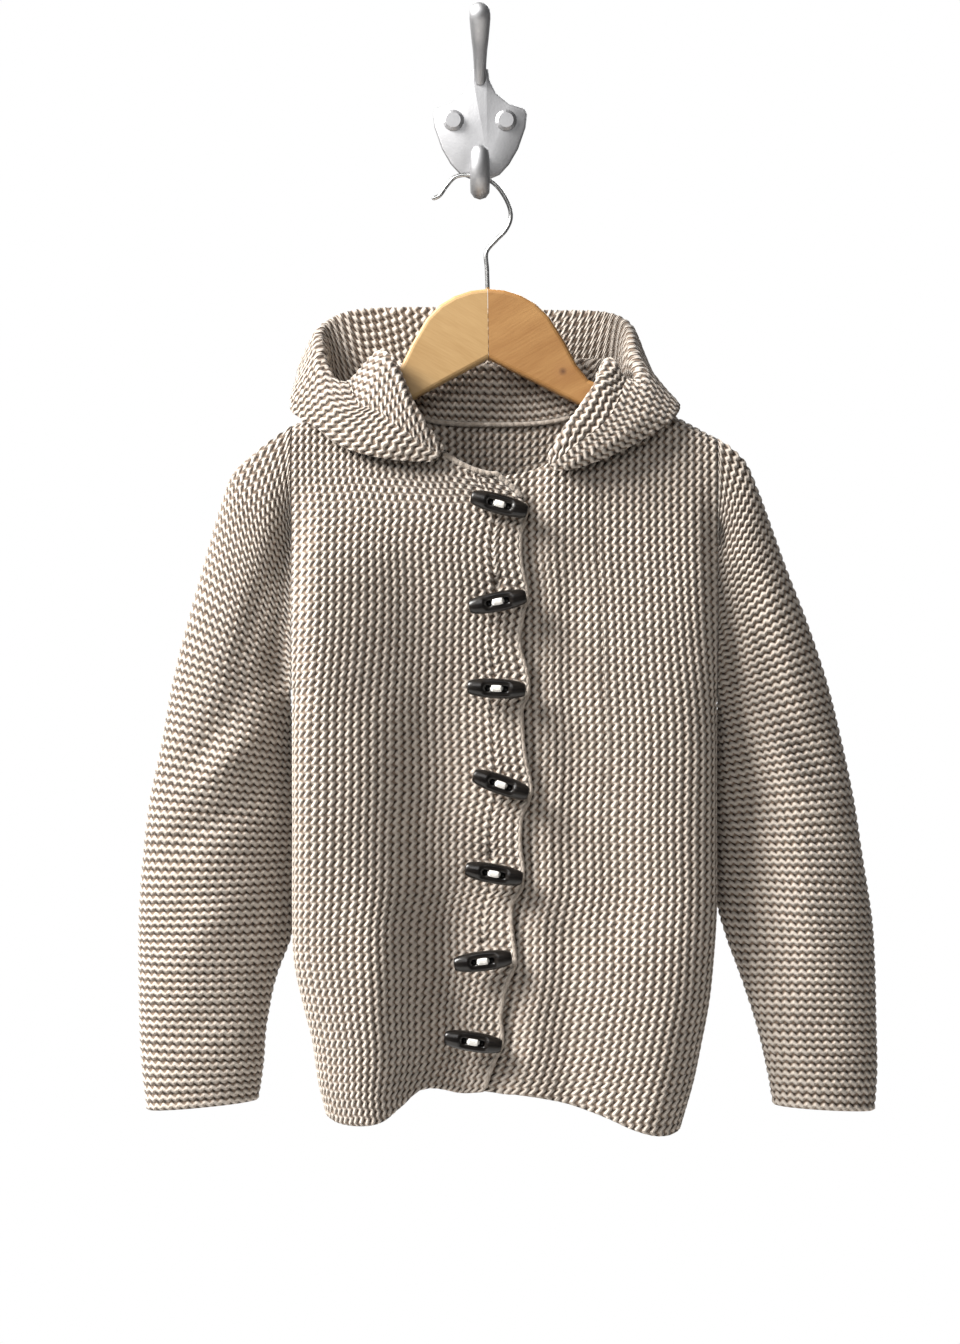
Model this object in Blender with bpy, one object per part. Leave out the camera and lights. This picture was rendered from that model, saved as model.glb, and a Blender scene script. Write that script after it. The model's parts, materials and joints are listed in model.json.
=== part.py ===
"""A child's chunky hand-knitted hooded jacket on a small wooden hanger, hung from a cast wall hook.

The cloth is one T-shaped sideways garter-stitch piece: the solids divide it at the shoulder line, at the
side and at the line where the sleeve turns down, with a hairline between them.  X runs to the viewer's
right, -Y towards the viewer, +Z up.  The origin is the middle of the wall hook's flat back.  Tables and
sizes are in millimetres; right and left are the wearer's.
"""

import math

import bmesh
import bpy
import numpy as np
from mathutils import Matrix, Vector

MM = 0.001

# ---- driving dimensions -------------------------------------------------------------------------
CLOTH = 3.0                 # thickness of the garter-stitch cloth
HOOD_CLOTH = 2.2            # and of the hood's, which is pulled tighter where it folds
SEAM_CLOTH = 1.5            # and of its edge on the neck seam
UNDERARM_CLOTH = 1.4        # and of the sleeves' edges on the armholes
SEAM = 0.3                  # hairline between neighbouring pieces
HOOD_SEAM = 1.0             # the same round the curved neckline
HOOD_LIFT = 1.0             # the laid-back hood stays this clear of the cloth under it
HANGER_Y = -42.0            # the plane of the hanger, in front of the wall
PROBE = 0.5                 # half the step over which the cloth's slope is measured

UNDERARM_Z = -350.0
CREASE_TOP_Z = -215.0       # the underarm crease fades out here
SIDE_ROLL = 28.0            # width over which the cloth rolls round the body's side
SIDE_NOSE = -7.0            # the side's fold lies this far in front of the hanger plane
ARCH_DEPTH = 10.6           # the cloth folds over the hanger's top edge in this half depth
ARCH_DROP = 10.0
SWELL_DROP = 120.0          # below it the body has its full depth
FRONT_DEPTH = 25.0
BACK_DEPTH = 17.0

NECK_CENTRE_X = 8.5
NECK_HALF = 63.5
FRONT_NECK_Z = -221.5
BACK_NECK_Z = -188.8
FRONT_NECK_POWER = {"right": 1.6, "left": 2.1}
BACK_NECK_POWER = 3.0

OVERLAP = 34.0              # the left front runs on this far under the right front
FULL_LAP_Z = -262.0         # above it the right front's corner is rounded off
LAP_GAP = 1.3               # between the two fronts where they lap
LAP_CLEAR = 4.0             # the left front lies low for this far past the right one's edge
LAP_STEP = 14.0             # and comes up level with it over this width

TOGGLE_LENGTH = 35.0
TOGGLE_WIDTH = 12.0
TOGGLE_DEPTH = 10.0
TOGGLE_END = 0.42           # size of its ends, as a share of the middle
TOGGLE_TAPER = 2.3
FLAT_HALF = 0.34            # its flat runs over this share of the half length
FLAT_LEVEL = 0.32           # and lies at this share of its depth

HANGER_CENTRE = (4.6, -108.6)
HANGER_TILT = math.radians(0.7)
HANGER_HALF = 140.0
HANGER_THICK = 12.0
HANGER_MIDDLE_HEIGHT = 42.0
HANGER_ROUND = 2.4
WIRE_RADIUS = 1.3
WIRE_SAMPLES = 34

PLATE_THICK = 4.0
PLATE_ROUND = 1.6
SCREW_BASE = 6.6
SCREW_TOP = 4.6
SCREW_HEIGHT = 2.2

# ---- tables --------------------------------------------------------------------------------------
# Level: height, the body's side on the wearer's right and left.
SIDES = (
    ("level", "right", "left"),
    (-150.0, -113.0, 142.5),
    (-350.0, -113.0, 142.5),
    (-450.0, -113.0, 142.5),
    (-480.0, -113.0, 142.5),
    (-512.0, -112.0, 140.5),
    (-536.0, -107.0, 138.0),
    (-560.0, -101.0, 133.5),
    (-584.0, -97.5, 128.5),
    (-605.0, -92.5, 122.5),
    (-620.0, -90.0, 118.0),
)
# The ridge that the cloth folds over: along it the hanger carries the shoulders.
SHOULDERS = (
    ("across", "height"),
    (-113.0, -190.5),
    (-84.0, -174.5),
    (-55.0, -157.5),
    (-20.0, -138.0),
    (8.5, -130.0),
    (40.0, -141.0),
    (72.0, -160.0),
    (108.0, -179.5),
    (142.5, -198.0),
)
HEM = (
    ("across", "height"),
    (-100.0, -601.0),
    (-88.0, -606.5),
    (-74.0, -607.5),
    (-57.0, -605.0),
    (-45.0, -597.0),
    (-36.0, -590.0),
    (-12.0, -592.0),
    (4.0, -590.5),
    (20.0, -591.0),
    (46.0, -595.0),
    (70.0, -602.0),
    (92.0, -611.0),
    (110.0, -615.0),
    (121.0, -613.0),
    (128.0, -606.0),
)
# The free edge of the right front, from the neckline down.
FREE_EDGE = (
    ("level", "across"),
    (-222.0, 10.5),
    (-227.0, 15.5),
    (-232.0, 21.5),
    (-238.0, 27.0),
    (-244.0, 28.8),
    (-262.0, 26.0),
    (-290.0, 28.5),
    (-318.0, 29.0),
    (-350.0, 27.0),
    (-385.0, 28.0),
    (-433.0, 25.0),
    (-470.0, 25.5),
    (-490.0, 20.0),
    (-520.0, 19.5),
    (-545.0, 14.5),
    (-575.0, 9.0),
    (-592.0, 0.5),
)
# Folds in the fronts: where the crest runs, how wide it is and how far it stands out.
FOLDS = (
    ("name", "top_x", "top_z", "foot_x", "foot_z", "width", "push"),
    ("right_front_bulge", -72.0, -430.0, -70.0, -640.0, 30.0, 9.0),
    ("right_front_valley", -36.0, -440.0, -32.0, -640.0, 16.0, -8.0),
    ("left_front_dent", 52.0, -330.0, 78.0, -470.0, 26.0, -6.0),
    ("left_front_bulge", 104.0, -440.0, 100.0, -640.0, 34.0, 6.0),
)
# Rings of the sleeves: outer and inner point of each, the inner point's place front to back, half depth.
RIGHT_SLEEVE = (
    ("outer_x", "outer_z", "inner_x", "inner_z", "nose_y", "depth"),
    (-113.0, -190.5, -113.0, -350.0, -49.0, 17.0),
    (-124.0, -198.0, -117.0, -353.0, -46.0, 17.0),
    (-137.0, -208.0, -119.0, -358.0, -42.0, 17.0),
    (-149.5, -220.0, -119.0, -364.5, -38.0, 18.0),
    (-157.5, -241.0, -117.5, -372.5, -34.5, 19.0),
    (-166.5, -272.0, -114.5, -382.5, -32.0, 20.0),
    (-176.5, -308.0, -111.5, -395.0, -31.0, 20.0),
    (-185.5, -344.0, -109.5, -408.0, -31.0, 19.0),
    (-192.0, -380.0, -109.5, -430.0, -31.0, 18.0),
    (-199.5, -416.0, -109.5, -453.0, -31.0, 20.0),
    (-203.7, -452.0, -110.5, -476.0, -32.0, 21.0),
    (-206.0, -488.0, -113.5, -499.0, -34.0, 21.0),
    (-206.1, -522.0, -122.5, -524.0, -38.0, 20.0),
    (-205.5, -552.0, -128.0, -552.0, -40.0, 19.0),
    (-204.0, -578.0, -130.0, -577.0, -41.0, 18.0),
    (-201.0, -603.0, -133.0, -597.0, -41.0, 16.0),
)
LEFT_SLEEVE = (
    ("outer_x", "outer_z", "inner_x", "inner_z", "nose_y", "depth"),
    (142.5, -198.0, 142.5, -350.0, -49.0, 17.0),
    (150.5, -203.5, 146.5, -353.0, -46.0, 17.0),
    (160.0, -213.0, 148.5, -358.0, -42.0, 17.0),
    (167.5, -229.0, 148.5, -364.5, -38.0, 18.0),
    (175.0, -249.0, 147.0, -372.5, -34.5, 19.0),
    (185.0, -277.0, 144.0, -382.5, -32.0, 20.0),
    (197.0, -308.0, 141.0, -395.0, -31.0, 20.0),
    (209.0, -344.0, 139.0, -408.0, -31.0, 19.0),
    (218.0, -380.0, 139.0, -430.0, -31.0, 18.0),
    (225.5, -416.0, 139.5, -453.0, -31.0, 20.0),
    (231.0, -452.0, 142.0, -476.0, -32.0, 21.0),
    (236.5, -488.0, 148.0, -499.0, -36.0, 21.0),
    (238.4, -522.0, 157.0, -524.0, -40.0, 20.0),
    (239.0, -552.0, 166.0, -552.0, -41.0, 19.0),
    (239.5, -578.0, 172.0, -577.0, -41.0, 18.0),
    (238.0, -603.0, 176.0, -600.0, -41.0, 16.0),
)
# The hood, laid back: from the neck seam the cloth rises to its first roll, drops into the valley,
# rises to the rim and turns over to the face edge.  One row for each place round the neck seam.
HOOD = (
    ("seam_x", "side", "roll", "valley", "rim", "edge", "roll_gap", "valley_gap", "rim_gap"),
    (-20.0, "front", (-22.0, -64.0, -207.0), (-24.0, -66.0, -210.0), (-26.0, -66.0, -212.0),
     (-29.0, -66.0, -214.0), 0.6, 0.6, 0.6),
    (-29.0, "front", (-33.0, -66.0, -192.0), (-38.0, -68.0, -201.0), (-43.0, -68.0, -208.0),
     (-46.0, -66.0, -213.0), 2.0, 0.6, 0.6),
    (-39.0, "front", (-41.0, -66.0, -179.0), (-49.0, -68.0, -193.0), (-57.0, -68.0, -204.0),
     (-62.0, -64.0, -210.5), 2.5, 0.6, 0.6),
    (-48.0, "front", (-47.0, -62.0, -164.0), (-60.0, -64.0, -184.0), (-74.0, -64.0, -198.0),
     (-82.0, -60.0, -204.5), 2.5, 0.6, 0.6),
    (-53.0, "front", (-54.0, -56.0, -151.0), (-72.0, -59.0, -180.0), (-87.0, -59.0, -184.0),
     (-99.0, -55.0, -192.0), 2.5, 2.0, 1.0),
    (-55.0, "front", (-60.0, -45.0, -147.5), (-80.0, -47.0, -166.0), (-94.0, -48.0, -163.0),
     (-113.0, -46.0, -182.0), 2.5, 3.5, 2.0),
    (-53.0, "back", (-59.0, -30.0, -151.0), (-83.0, -28.0, -180.0), (-97.0, -33.0, -143.0),
     (-111.0, -32.0, -165.0), 2.5, 4.5, 2.0),
    (-46.0, "back", (-52.0, -26.0, -153.0), (-80.0, -21.0, -214.0), (-97.0, -17.0, -130.0),
     (-106.0, -13.0, -146.0), 2.5, 5.5, 2.0),
    (-34.0, "back", (-38.0, -25.0, -153.0), (-61.0, -16.0, -264.0), (-80.0, -11.0, -120.0),
     (-84.0, -7.0, -130.0), 2.5, 6.5, 2.0),
    (-15.0, "back", (-17.0, -25.0, -153.0), (-30.0, -16.0, -300.0), (-42.0, -10.0, -117.5),
     (-44.0, -6.0, -126.0), 2.5, 6.5, 2.0),
    (8.0, "back", (8.0, -25.0, -153.0), (4.0, -16.0, -313.0), (4.0, -10.0, -118.5),
     (4.0, -6.0, -126.0), 2.5, 6.5, 2.0),
    (32.0, "back", (35.0, -25.0, -152.0), (38.0, -16.0, -302.0), (48.0, -10.0, -119.5),
     (49.0, -6.0, -128.0), 2.5, 6.5, 2.0),
    (52.0, "back", (56.0, -25.5, -151.0), (66.0, -16.0, -266.0), (78.0, -12.0, -121.0),
     (82.0, -8.0, -131.0), 2.5, 6.5, 2.0),
    (64.0, "back", (69.5, -27.0, -150.5), (82.0, -21.0, -214.0), (91.0, -19.0, -129.0),
     (98.0, -15.0, -147.0), 2.5, 5.5, 2.0),
    (70.5, "back", (76.0, -32.0, -151.5), (88.0, -27.0, -178.0), (93.0, -34.0, -146.0),
     (108.0, -32.0, -167.0), 2.5, 4.0, 2.0),
    (72.0, "front", (77.0, -46.5, -152.5), (88.0, -48.0, -164.0), (99.0, -50.0, -165.0),
     (119.0, -46.0, -179.0), 2.5, 3.5, 2.0),
    (67.5, "front", (70.0, -58.0, -167.0), (82.0, -60.0, -178.0), (98.0, -60.0, -184.0),
     (114.0, -56.0, -189.0), 2.5, 2.0, 1.0),
    (62.5, "front", (61.0, -62.0, -181.0), (74.0, -65.0, -191.0), (87.0, -65.0, -197.0),
     (97.0, -61.0, -200.0), 2.5, 0.6, 0.6),
    (56.0, "front", (52.0, -66.0, -193.0), (60.0, -68.0, -202.0), (68.0, -68.0, -208.0),
     (75.0, -65.0, -211.0), 2.5, 0.6, 0.6),
    (47.0, "front", (45.0, -66.0, -205.0), (49.0, -68.0, -211.0), (54.0, -68.0, -215.0),
     (58.0, -66.0, -217.0), 2.0, 0.6, 0.6),
    (41.0, "front", (41.0, -65.0, -213.0), (42.0, -66.0, -216.0), (44.0, -66.0, -218.0),
     (46.0, -66.0, -219.5), 0.6, 0.6, 0.6),
)
# Where the hood's surface is sampled between the guide points of a section: seam, roll (three points),
# valley (three), rim (three) and edge.
HOOD_SAMPLES = (0.0, 0.35, 0.7, 1.0, 1.5, 2.0, 2.5, 3.0, 3.3, 3.65, 4.0, 4.5, 5.0, 5.5, 6.0, 6.3, 6.65,
                7.0, 7.5, 8.0, 8.5, 9.0, 9.5, 10.0)
HOOD_COLUMNS = 47
HOOD_SPARE = 6.0            # added to each station's width when the columns are shared out
# The toggles, top to bottom: middle of each and its tilt, downwards to the viewer's right.
TOGGLES = (
    ("x", "z", "tilt"),
    (11.5, -239.4, 15.0),
    (10.5, -297.3, -11.0),
    (9.8, -348.8, 3.0),
    (12.4, -405.9, 19.0),
    (8.3, -459.0, 10.0),
    (1.7, -510.9, -7.0),
    (-4.1, -558.9, 9.0),
)
# Half of the hanger's outline, from the middle of its top outwards.
HANGER_TOP = (
    ("across", "down"),
    (0.0, 0.0),
    (10.0, 1.0),
    (20.0, 4.2),
    (29.0, 9.5),
    (37.0, 17.5),
    (46.0, 32.5),
    (53.0, 46.5),
    (60.0, 55.5),
    (72.0, 60.4),
)
# Its rounded tip: in from the arm's full reach, and down from the middle of the top.
HANGER_TIP = (
    ("inside", "down"),
    (7.0, 95.1),
    (2.0, 99.8),
    (0.0, 105.3),
    (1.0, 110.3),
    (4.0, 113.3),
)
# The wire of the hanger, from the wood to its free end.
WIRE = (
    ("x", "z"),
    (4.6, -108.2),
    (4.2, -96.0),
    (3.9, -86.0),
    (9.5, -79.0),
    (15.3, -73.0),
    (18.4, -66.0),
    (17.6, -58.5),
    (12.2, -48.6),
    (6.3, -43.1),
    (-0.5, -40.4),
    (-7.8, -39.4),
    (-15.0, -40.8),
    (-20.5, -46.5),
    (-24.5, -52.0),
    (-29.0, -54.0),
)
# Half of the wall plate's outline, from its narrow neck down.
PLATE = (
    ("half", "level"),
    (5.0, 32.0),
    (6.0, 25.0),
    (10.0, 17.0),
    (18.0, 10.5),
    (27.5, 7.5),
    (29.0, 4.0),
    (28.0, -4.0),
    (23.5, -17.0),
    (18.0, -26.5),
    (12.0, -33.0),
    (5.0, -36.0),
)
# The wall hook's two arms, in its own middle plane.
HOOK_ARM = (
    ("y", "z", "radius"),
    (-2.0, -23.0, 4.5),
    (-14.0, -33.0, 5.0),
    (-28.0, -43.6, 5.6),
    (-42.0, -48.4, 6.0),
    (-53.0, -44.6, 6.2),
    (-57.0, -36.0, 6.2),
    (-57.5, -29.5, 5.8),
)
HAT_ARM = (
    ("y", "z", "radius"),
    (-2.0, 24.0, 3.8),
    (-10.0, 33.0, 4.0),
    (-22.0, 40.0, 4.6),
    (-36.0, 46.0, 5.6),
    (-45.0, 54.0, 6.6),
    (-47.0, 57.0, 6.6),
)
SCREWS = (
    ("x", "z"),
    (-16.5, 0.0),
    (16.0, 0.0),
)

# ---- materials -----------------------------------------------------------------------------------
COLOURS = {
    "knit_greige": (0.47, 0.40, 0.34, 0.95, 0.0),
    "toggle_dark": (0.030, 0.022, 0.018, 0.28, 0.0),
    "hanger_wood_light": (0.62, 0.40, 0.19, 0.45, 0.0),
    "hanger_wood_warm": (0.55, 0.31, 0.13, 0.45, 0.0),
    "hanger_steel": (0.55, 0.55, 0.54, 0.25, 1.0),
    "cast_metal": (0.52, 0.52, 0.53, 0.40, 1.0),
}


def material(name, piece):
    """A plain Principled material of one of COLOURS, made for one piece."""
    red, green, blue, roughness, metallic = COLOURS[name]
    made = bpy.data.materials.new(name + "." + piece)
    made.use_nodes = True
    shader = made.node_tree.nodes["Principled BSDF"]
    shader.inputs["Base Color"].default_value = (red, green, blue, 1.0)
    shader.inputs["Roughness"].default_value = roughness
    shader.inputs["Metallic"].default_value = metallic
    made.diffuse_color = (red, green, blue, 1.0)
    return made


def column(table, name):
    """One named column of a table, as an array."""
    at = table[0].index(name)
    return np.array([row[at] for row in table[1:]])


def read(table, key, value, at):
    """The value column read at places of the key column, by a smooth curve through the rows."""
    keys, values = column(table, key), column(table, value)
    order = np.argsort(keys)
    return smooth_through(keys[order], values[order], np.asarray(at, dtype=float))


def smooth_through(keys, values, at):
    """Cubic Hermite curve through (keys, values), its slopes the mean of the neighbouring chords."""
    chords = np.diff(values) / np.diff(keys)
    slopes = np.empty(len(keys))
    slopes[0], slopes[-1] = chords[0], chords[-1]
    slopes[1:-1] = 0.5 * (chords[1:] + chords[:-1])
    place = np.clip(at, keys[0], keys[-1])
    i = np.clip(np.searchsorted(keys, place) - 1, 0, len(keys) - 2)
    run = keys[i + 1] - keys[i]
    t = (place - keys[i]) / run
    return (
        (2 * t**3 - 3 * t**2 + 1) * values[i]
        + (t**3 - 2 * t**2 + t) * run * slopes[i]
        + (3 * t**2 - 2 * t**3) * values[i + 1]
        + (t**3 - t**2) * run * slopes[i + 1]
    )


def ease(t):
    """0 to 1 with level ends."""
    t = np.clip(t, 0.0, 1.0)
    return t * t * (3.0 - 2.0 * t)


def arch(t, power=2.0):
    """A round rise from 0 at t=0, upright there, to 1 at t=1, level there."""
    t = np.clip(t, 0.0, 1.0)
    return (1.0 - (1.0 - t) ** power) ** (1.0 / power)


# ---- the body's surface --------------------------------------------------------------------------
def body_depth(x, z, full):
    """How far the cloth's outside stands off the hanger plane at (x, z), before the sides close."""
    below = read(SHOULDERS, "across", "height", x) - z
    return ARCH_DEPTH * arch(below / ARCH_DROP) + (full - ARCH_DEPTH) * ease(below / SWELL_DROP)


def body_side(x, z):
    """Closing factor at the sides (0 on the side seam, 1 in the body) and the side's shift in Y."""
    right, left = read(SIDES, "level", "right", z), read(SIDES, "level", "left", z)
    inward = np.minimum(x - right, left - x) / SIDE_ROLL
    roll = arch(inward, 2.2)
    armhole = arch((z - UNDERARM_Z) / (CREASE_TOP_Z - UNDERARM_Z))
    shift = SIDE_NOSE * (1.0 - np.clip(inward, 0.0, 1.0)) ** 2 * (1.0 - ease(armhole))
    return roll + armhole - roll * armhole, shift


def folds(x, z):
    """The fronts' soft folds: each row of FOLDS pushes the cloth out along its crest."""
    out = np.zeros(np.broadcast(x, z).shape)
    for _, top_x, top_z, foot_x, foot_z, width, push in FOLDS[1:]:
        along = (z - top_z) / (foot_z - top_z)
        crest = top_x + (foot_x - top_x) * np.clip(along, 0.0, 1.0)
        out = out + push * np.exp(-(((x - crest) / width) ** 2)) * ease(1.6 * along) * (along < 1.2)
    return out


def front_y(x, z):
    """Outside of the fronts."""
    close, shift = body_side(x, z)
    return HANGER_Y + shift - (body_depth(x, z, FRONT_DEPTH) + folds(x, z) * close) * close


def back_y(x, z):
    """Outside of the back."""
    close, shift = body_side(x, z)
    return HANGER_Y + shift + body_depth(x, z, BACK_DEPTH) * close


def neckline(x, low, powers):
    """Height of a cut neckline: a rounded dip between the two neck points, low in the middle."""
    across = (x - NECK_CENTRE_X) / NECK_HALF
    power = np.where(across < 0.0, powers[0], powers[1])
    dip = arch(1.0 - np.abs(across), power)
    ends = (NECK_CENTRE_X - NECK_HALF, NECK_CENTRE_X + NECK_HALF)
    points = np.interp(x, ends, read(SHOULDERS, "across", "height", ends))
    return points + (low - points) * dip


def panel_top(x, low, powers):
    """Top of a panel: its neckline between the neck points, and the shoulder ridge beyond them."""
    ridge = read(SHOULDERS, "across", "height", x)
    inside = np.abs(x - NECK_CENTRE_X) < NECK_HALF
    return np.where(inside, np.minimum(neckline(x, low, powers), ridge), ridge)


# ---- building solids -----------------------------------------------------------------------------
def surface_normals(points, closed):
    """Unit normals of a grid of points, from the cross product of its two directions."""
    if closed:
        du = np.roll(points, -1, axis=1) - np.roll(points, 1, axis=1)
    else:
        du = np.gradient(points, axis=1)
    dv = np.gradient(points, axis=0)
    return unit(np.cross(du, dv))


def unit(vectors):
    """Vectors of length one."""
    return vectors / np.maximum(np.linalg.norm(vectors, axis=-1, keepdims=True), 1e-9)


def evened(normals, passes, closed=False):
    """Normals of a grid, averaged with their neighbours so that the wall turns gently."""
    for _ in range(passes):
        padded = np.pad(normals, ((1, 1), (0, 0), (0, 0)), mode="edge")
        padded = np.pad(padded, ((0, 0), (1, 1), (0, 0)), mode="wrap" if closed else "edge")
        around = padded[:-2, 1:-1] + padded[2:, 1:-1] + padded[1:-1, :-2] + padded[1:-1, 2:]
        normals = unit(2.0 * normals + around)
    return normals


def wall_solid(name, outside, outward, slot, thickness=CLOTH, closed=False):
    """A wall of even thickness behind a grid of outside points, closed along its edges.

    Rows run up the cloth and columns across it, so that the faces look out of the cloth; a closed
    grid's columns go right round, as on a sleeve.  outward holds the unit normals at the points.
    """
    inside = outside - outward * thickness
    rows, columns = outside.shape[:2]
    mesh = bmesh.new()
    outer = [[mesh.verts.new(Vector(p) * MM) for p in row] for row in outside]
    inner = [[mesh.verts.new(Vector(p) * MM) for p in row] for row in inside]
    spans = columns if closed else columns - 1
    for j in range(rows - 1):
        for i in range(spans):
            k = (i + 1) % columns
            mesh.faces.new((outer[j][i], outer[j][k], outer[j + 1][k], outer[j + 1][i]))
            mesh.faces.new((inner[j + 1][i], inner[j + 1][k], inner[j][k], inner[j][i]))
    for i in range(spans):
        k = (i + 1) % columns
        mesh.faces.new((inner[0][i], inner[0][k], outer[0][k], outer[0][i]))
        mesh.faces.new((outer[-1][i], outer[-1][k], inner[-1][k], inner[-1][i]))
    if not closed:
        for j in range(rows - 1):
            mesh.faces.new((outer[j][0], outer[j + 1][0], inner[j + 1][0], inner[j][0]))
            mesh.faces.new((inner[j][-1], inner[j + 1][-1], outer[j + 1][-1], outer[j][-1]))
    return finish(name, mesh, slot)


def finish(name, mesh, slot, sharp_angle=50.0):
    """Turns a bmesh into a named object with its own material and smooth shading."""
    bmesh.ops.recalc_face_normals(mesh, faces=mesh.faces)
    data = bpy.data.meshes.new(name)
    mesh.to_mesh(data)
    mesh.free()
    data.materials.append(material(slot, name))
    data.shade_smooth()
    data.set_sharp_from_angle(angle=math.radians(sharp_angle))
    made = bpy.data.objects.new(name, data)
    bpy.context.scene.collection.objects.link(made)
    return made


# ---- the cloth -----------------------------------------------------------------------------------
ROWS_UP = 23                # rows of a panel below its top fold
ROWS_TOP = 5                # rows in the fold over the hanger


def panel_heights(foot, top):
    """Heights of a panel's rows: even below, and closer together in the fold at the top."""
    even = np.linspace(0.0, 1.0, ROWS_UP)[:, None]
    low = foot + (top - ARCH_DROP - foot) * even
    turn = np.linspace(0.0, math.pi / 2.0, ROWS_TOP + 1)[1:, None]
    return np.concatenate([low, top - ARCH_DROP * (1.0 - np.sin(turn))])


def spread(start, end, spans, draw):
    """Fractions from start to end, drawn together at "both" ends or at the "start" or "end"."""
    even = np.linspace(0.0, 1.0, spans + 1)
    drawn = {
        "both": 0.5 - 0.5 * np.cos(math.pi * even),
        "start": even**1.7,
        "end": 1.0 - (1.0 - even) ** 1.7,
    }[draw]
    return start + (end - start) * drawn


def joined(*stretches):
    """Stretches of fractions in one run, each starting where the last one ends."""
    return np.concatenate([stretches[0]] + [stretch[1:] for stretch in stretches[1:]])


def facing_out(face, x, z, facing):
    """Outward normals of a face y = face(x, z); facing is -1 on the fronts and 1 on the back."""
    slope_x = (face(x + PROBE, z) - face(x - PROBE, z)) / (2.0 * PROBE)
    slope_z = (face(x, z + PROBE) - face(x, z - PROBE)) / (2.0 * PROBE)
    return unit(facing * np.stack([-slope_x, np.ones_like(slope_x), -slope_z], axis=-1))


def panel(fractions, edges, low_neck, powers, face, facing):
    """Outside points of one panel of the body and their normals.

    edges(z, fractions) gives X across the panel and face(x, z) gives Y.  Along the side the cut edge
    is square to Y below the underarm and square to X on the armhole, and along the shoulder it is
    square to Y.
    """
    z = np.full((1, len(fractions)), UNDERARM_Z)
    for _ in range(4):
        x = edges(z, fractions)
        z = panel_heights(read(HEM, "across", "height", x[0]), panel_top(x[-1], low_neck, powers))
    x = edges(z, fractions)
    normals = facing_out(face, x, z, facing)
    for at in (0, -1):
        on_side = np.minimum(x[:, at] - read(SIDES, "level", "right", z[:, at]),
                             read(SIDES, "level", "left", z[:, at]) - x[:, at]) < 1.0
        normals[on_side & (z[:, at] <= UNDERARM_Z), at, 1] = 0.0
        normals[on_side & (z[:, at] > UNDERARM_Z), at, 0] = 0.0
    normals[-1, np.abs(x[-1] - NECK_CENTRE_X) > NECK_HALF, 1] = 0.0
    return np.stack([x, face(x, z), z], axis=2), unit(normals)


def seam_y(x, z):
    """The plane in which the fronts and the back meet."""
    return HANGER_Y + body_side(x, z)[1]


def build_fronts():
    """The two fronts.  The right one laps over the left one, which steps back to lie under it."""
    powers = (FRONT_NECK_POWER["right"], FRONT_NECK_POWER["left"])

    def under_edge(z):
        return read(FREE_EDGE, "level", "across", np.minimum(z, FULL_LAP_Z))

    def right_edges(z, fractions):
        side = read(SIDES, "level", "right", z) + SEAM / 2.0
        return side + (read(FREE_EDGE, "level", "across", z) - side) * fractions

    def left_edges(z, fractions):
        side = read(SIDES, "level", "left", z) - SEAM / 2.0
        hidden = under_edge(z) - OVERLAP
        return hidden + (side - hidden) * fractions

    def right_face(x, z):
        return np.minimum(front_y(x, z), seam_y(x, z) - SEAM / 2.0)

    def left_face(x, z):
        under = 1.0 - ease((x - under_edge(z) - LAP_CLEAR) / LAP_STEP)
        return np.minimum(front_y(x, z) + (CLOTH + LAP_GAP) * under, seam_y(x, z) - SEAM / 2.0)

    right_neck, left_neck = NECK_CENTRE_X - NECK_HALF, NECK_CENTRE_X + NECK_HALF
    right_side, left_side = SIDES[1][1], SIDES[1][2]
    free_top, hidden_top = FREE_EDGE[1][1], float(under_edge(0.0)) - OVERLAP
    at_right = (right_neck - right_side) / (free_top - right_side)
    at_left = (left_neck - hidden_top) / (left_side - hidden_top)
    right_columns = joined(spread(0.0, at_right, 8, "both"), spread(at_right, 1.0, 8, "start"))
    left_columns = joined(spread(0.0, at_left, 9, "end"), spread(at_left, 1.0, 8, "both"))
    for name, fractions, edges, face in (
        ("front_right", right_columns, right_edges, right_face),
        ("front_left", left_columns, left_edges, left_face),
    ):
        points, normals = panel(fractions, edges, FRONT_NECK_Z, powers, face, -1.0)
        wall_solid(name, points, normals, "knit_greige")


def build_back():
    """The back, from side to side."""
    powers = (BACK_NECK_POWER, BACK_NECK_POWER)

    def edges(z, fractions):
        right = read(SIDES, "level", "right", z) + SEAM / 2.0
        left = read(SIDES, "level", "left", z) - SEAM / 2.0
        return left + (right - left) * fractions

    def face(x, z):
        return np.maximum(back_y(x, z), seam_y(x, z) + SEAM / 2.0)

    width = SIDES[1][2] - SIDES[1][1]
    left_at = (SIDES[1][2] - NECK_CENTRE_X - NECK_HALF) / width
    right_at = (SIDES[1][2] - NECK_CENTRE_X + NECK_HALF) / width
    columns = joined(spread(0.0, left_at, 8, "both"), spread(left_at, right_at, 12, "both"),
                     spread(right_at, 1.0, 8, "both"))
    points, normals = panel(columns, edges, BACK_NECK_Z, powers, face, 1.0)
    wall_solid("back", points, normals, "knit_greige")


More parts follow.
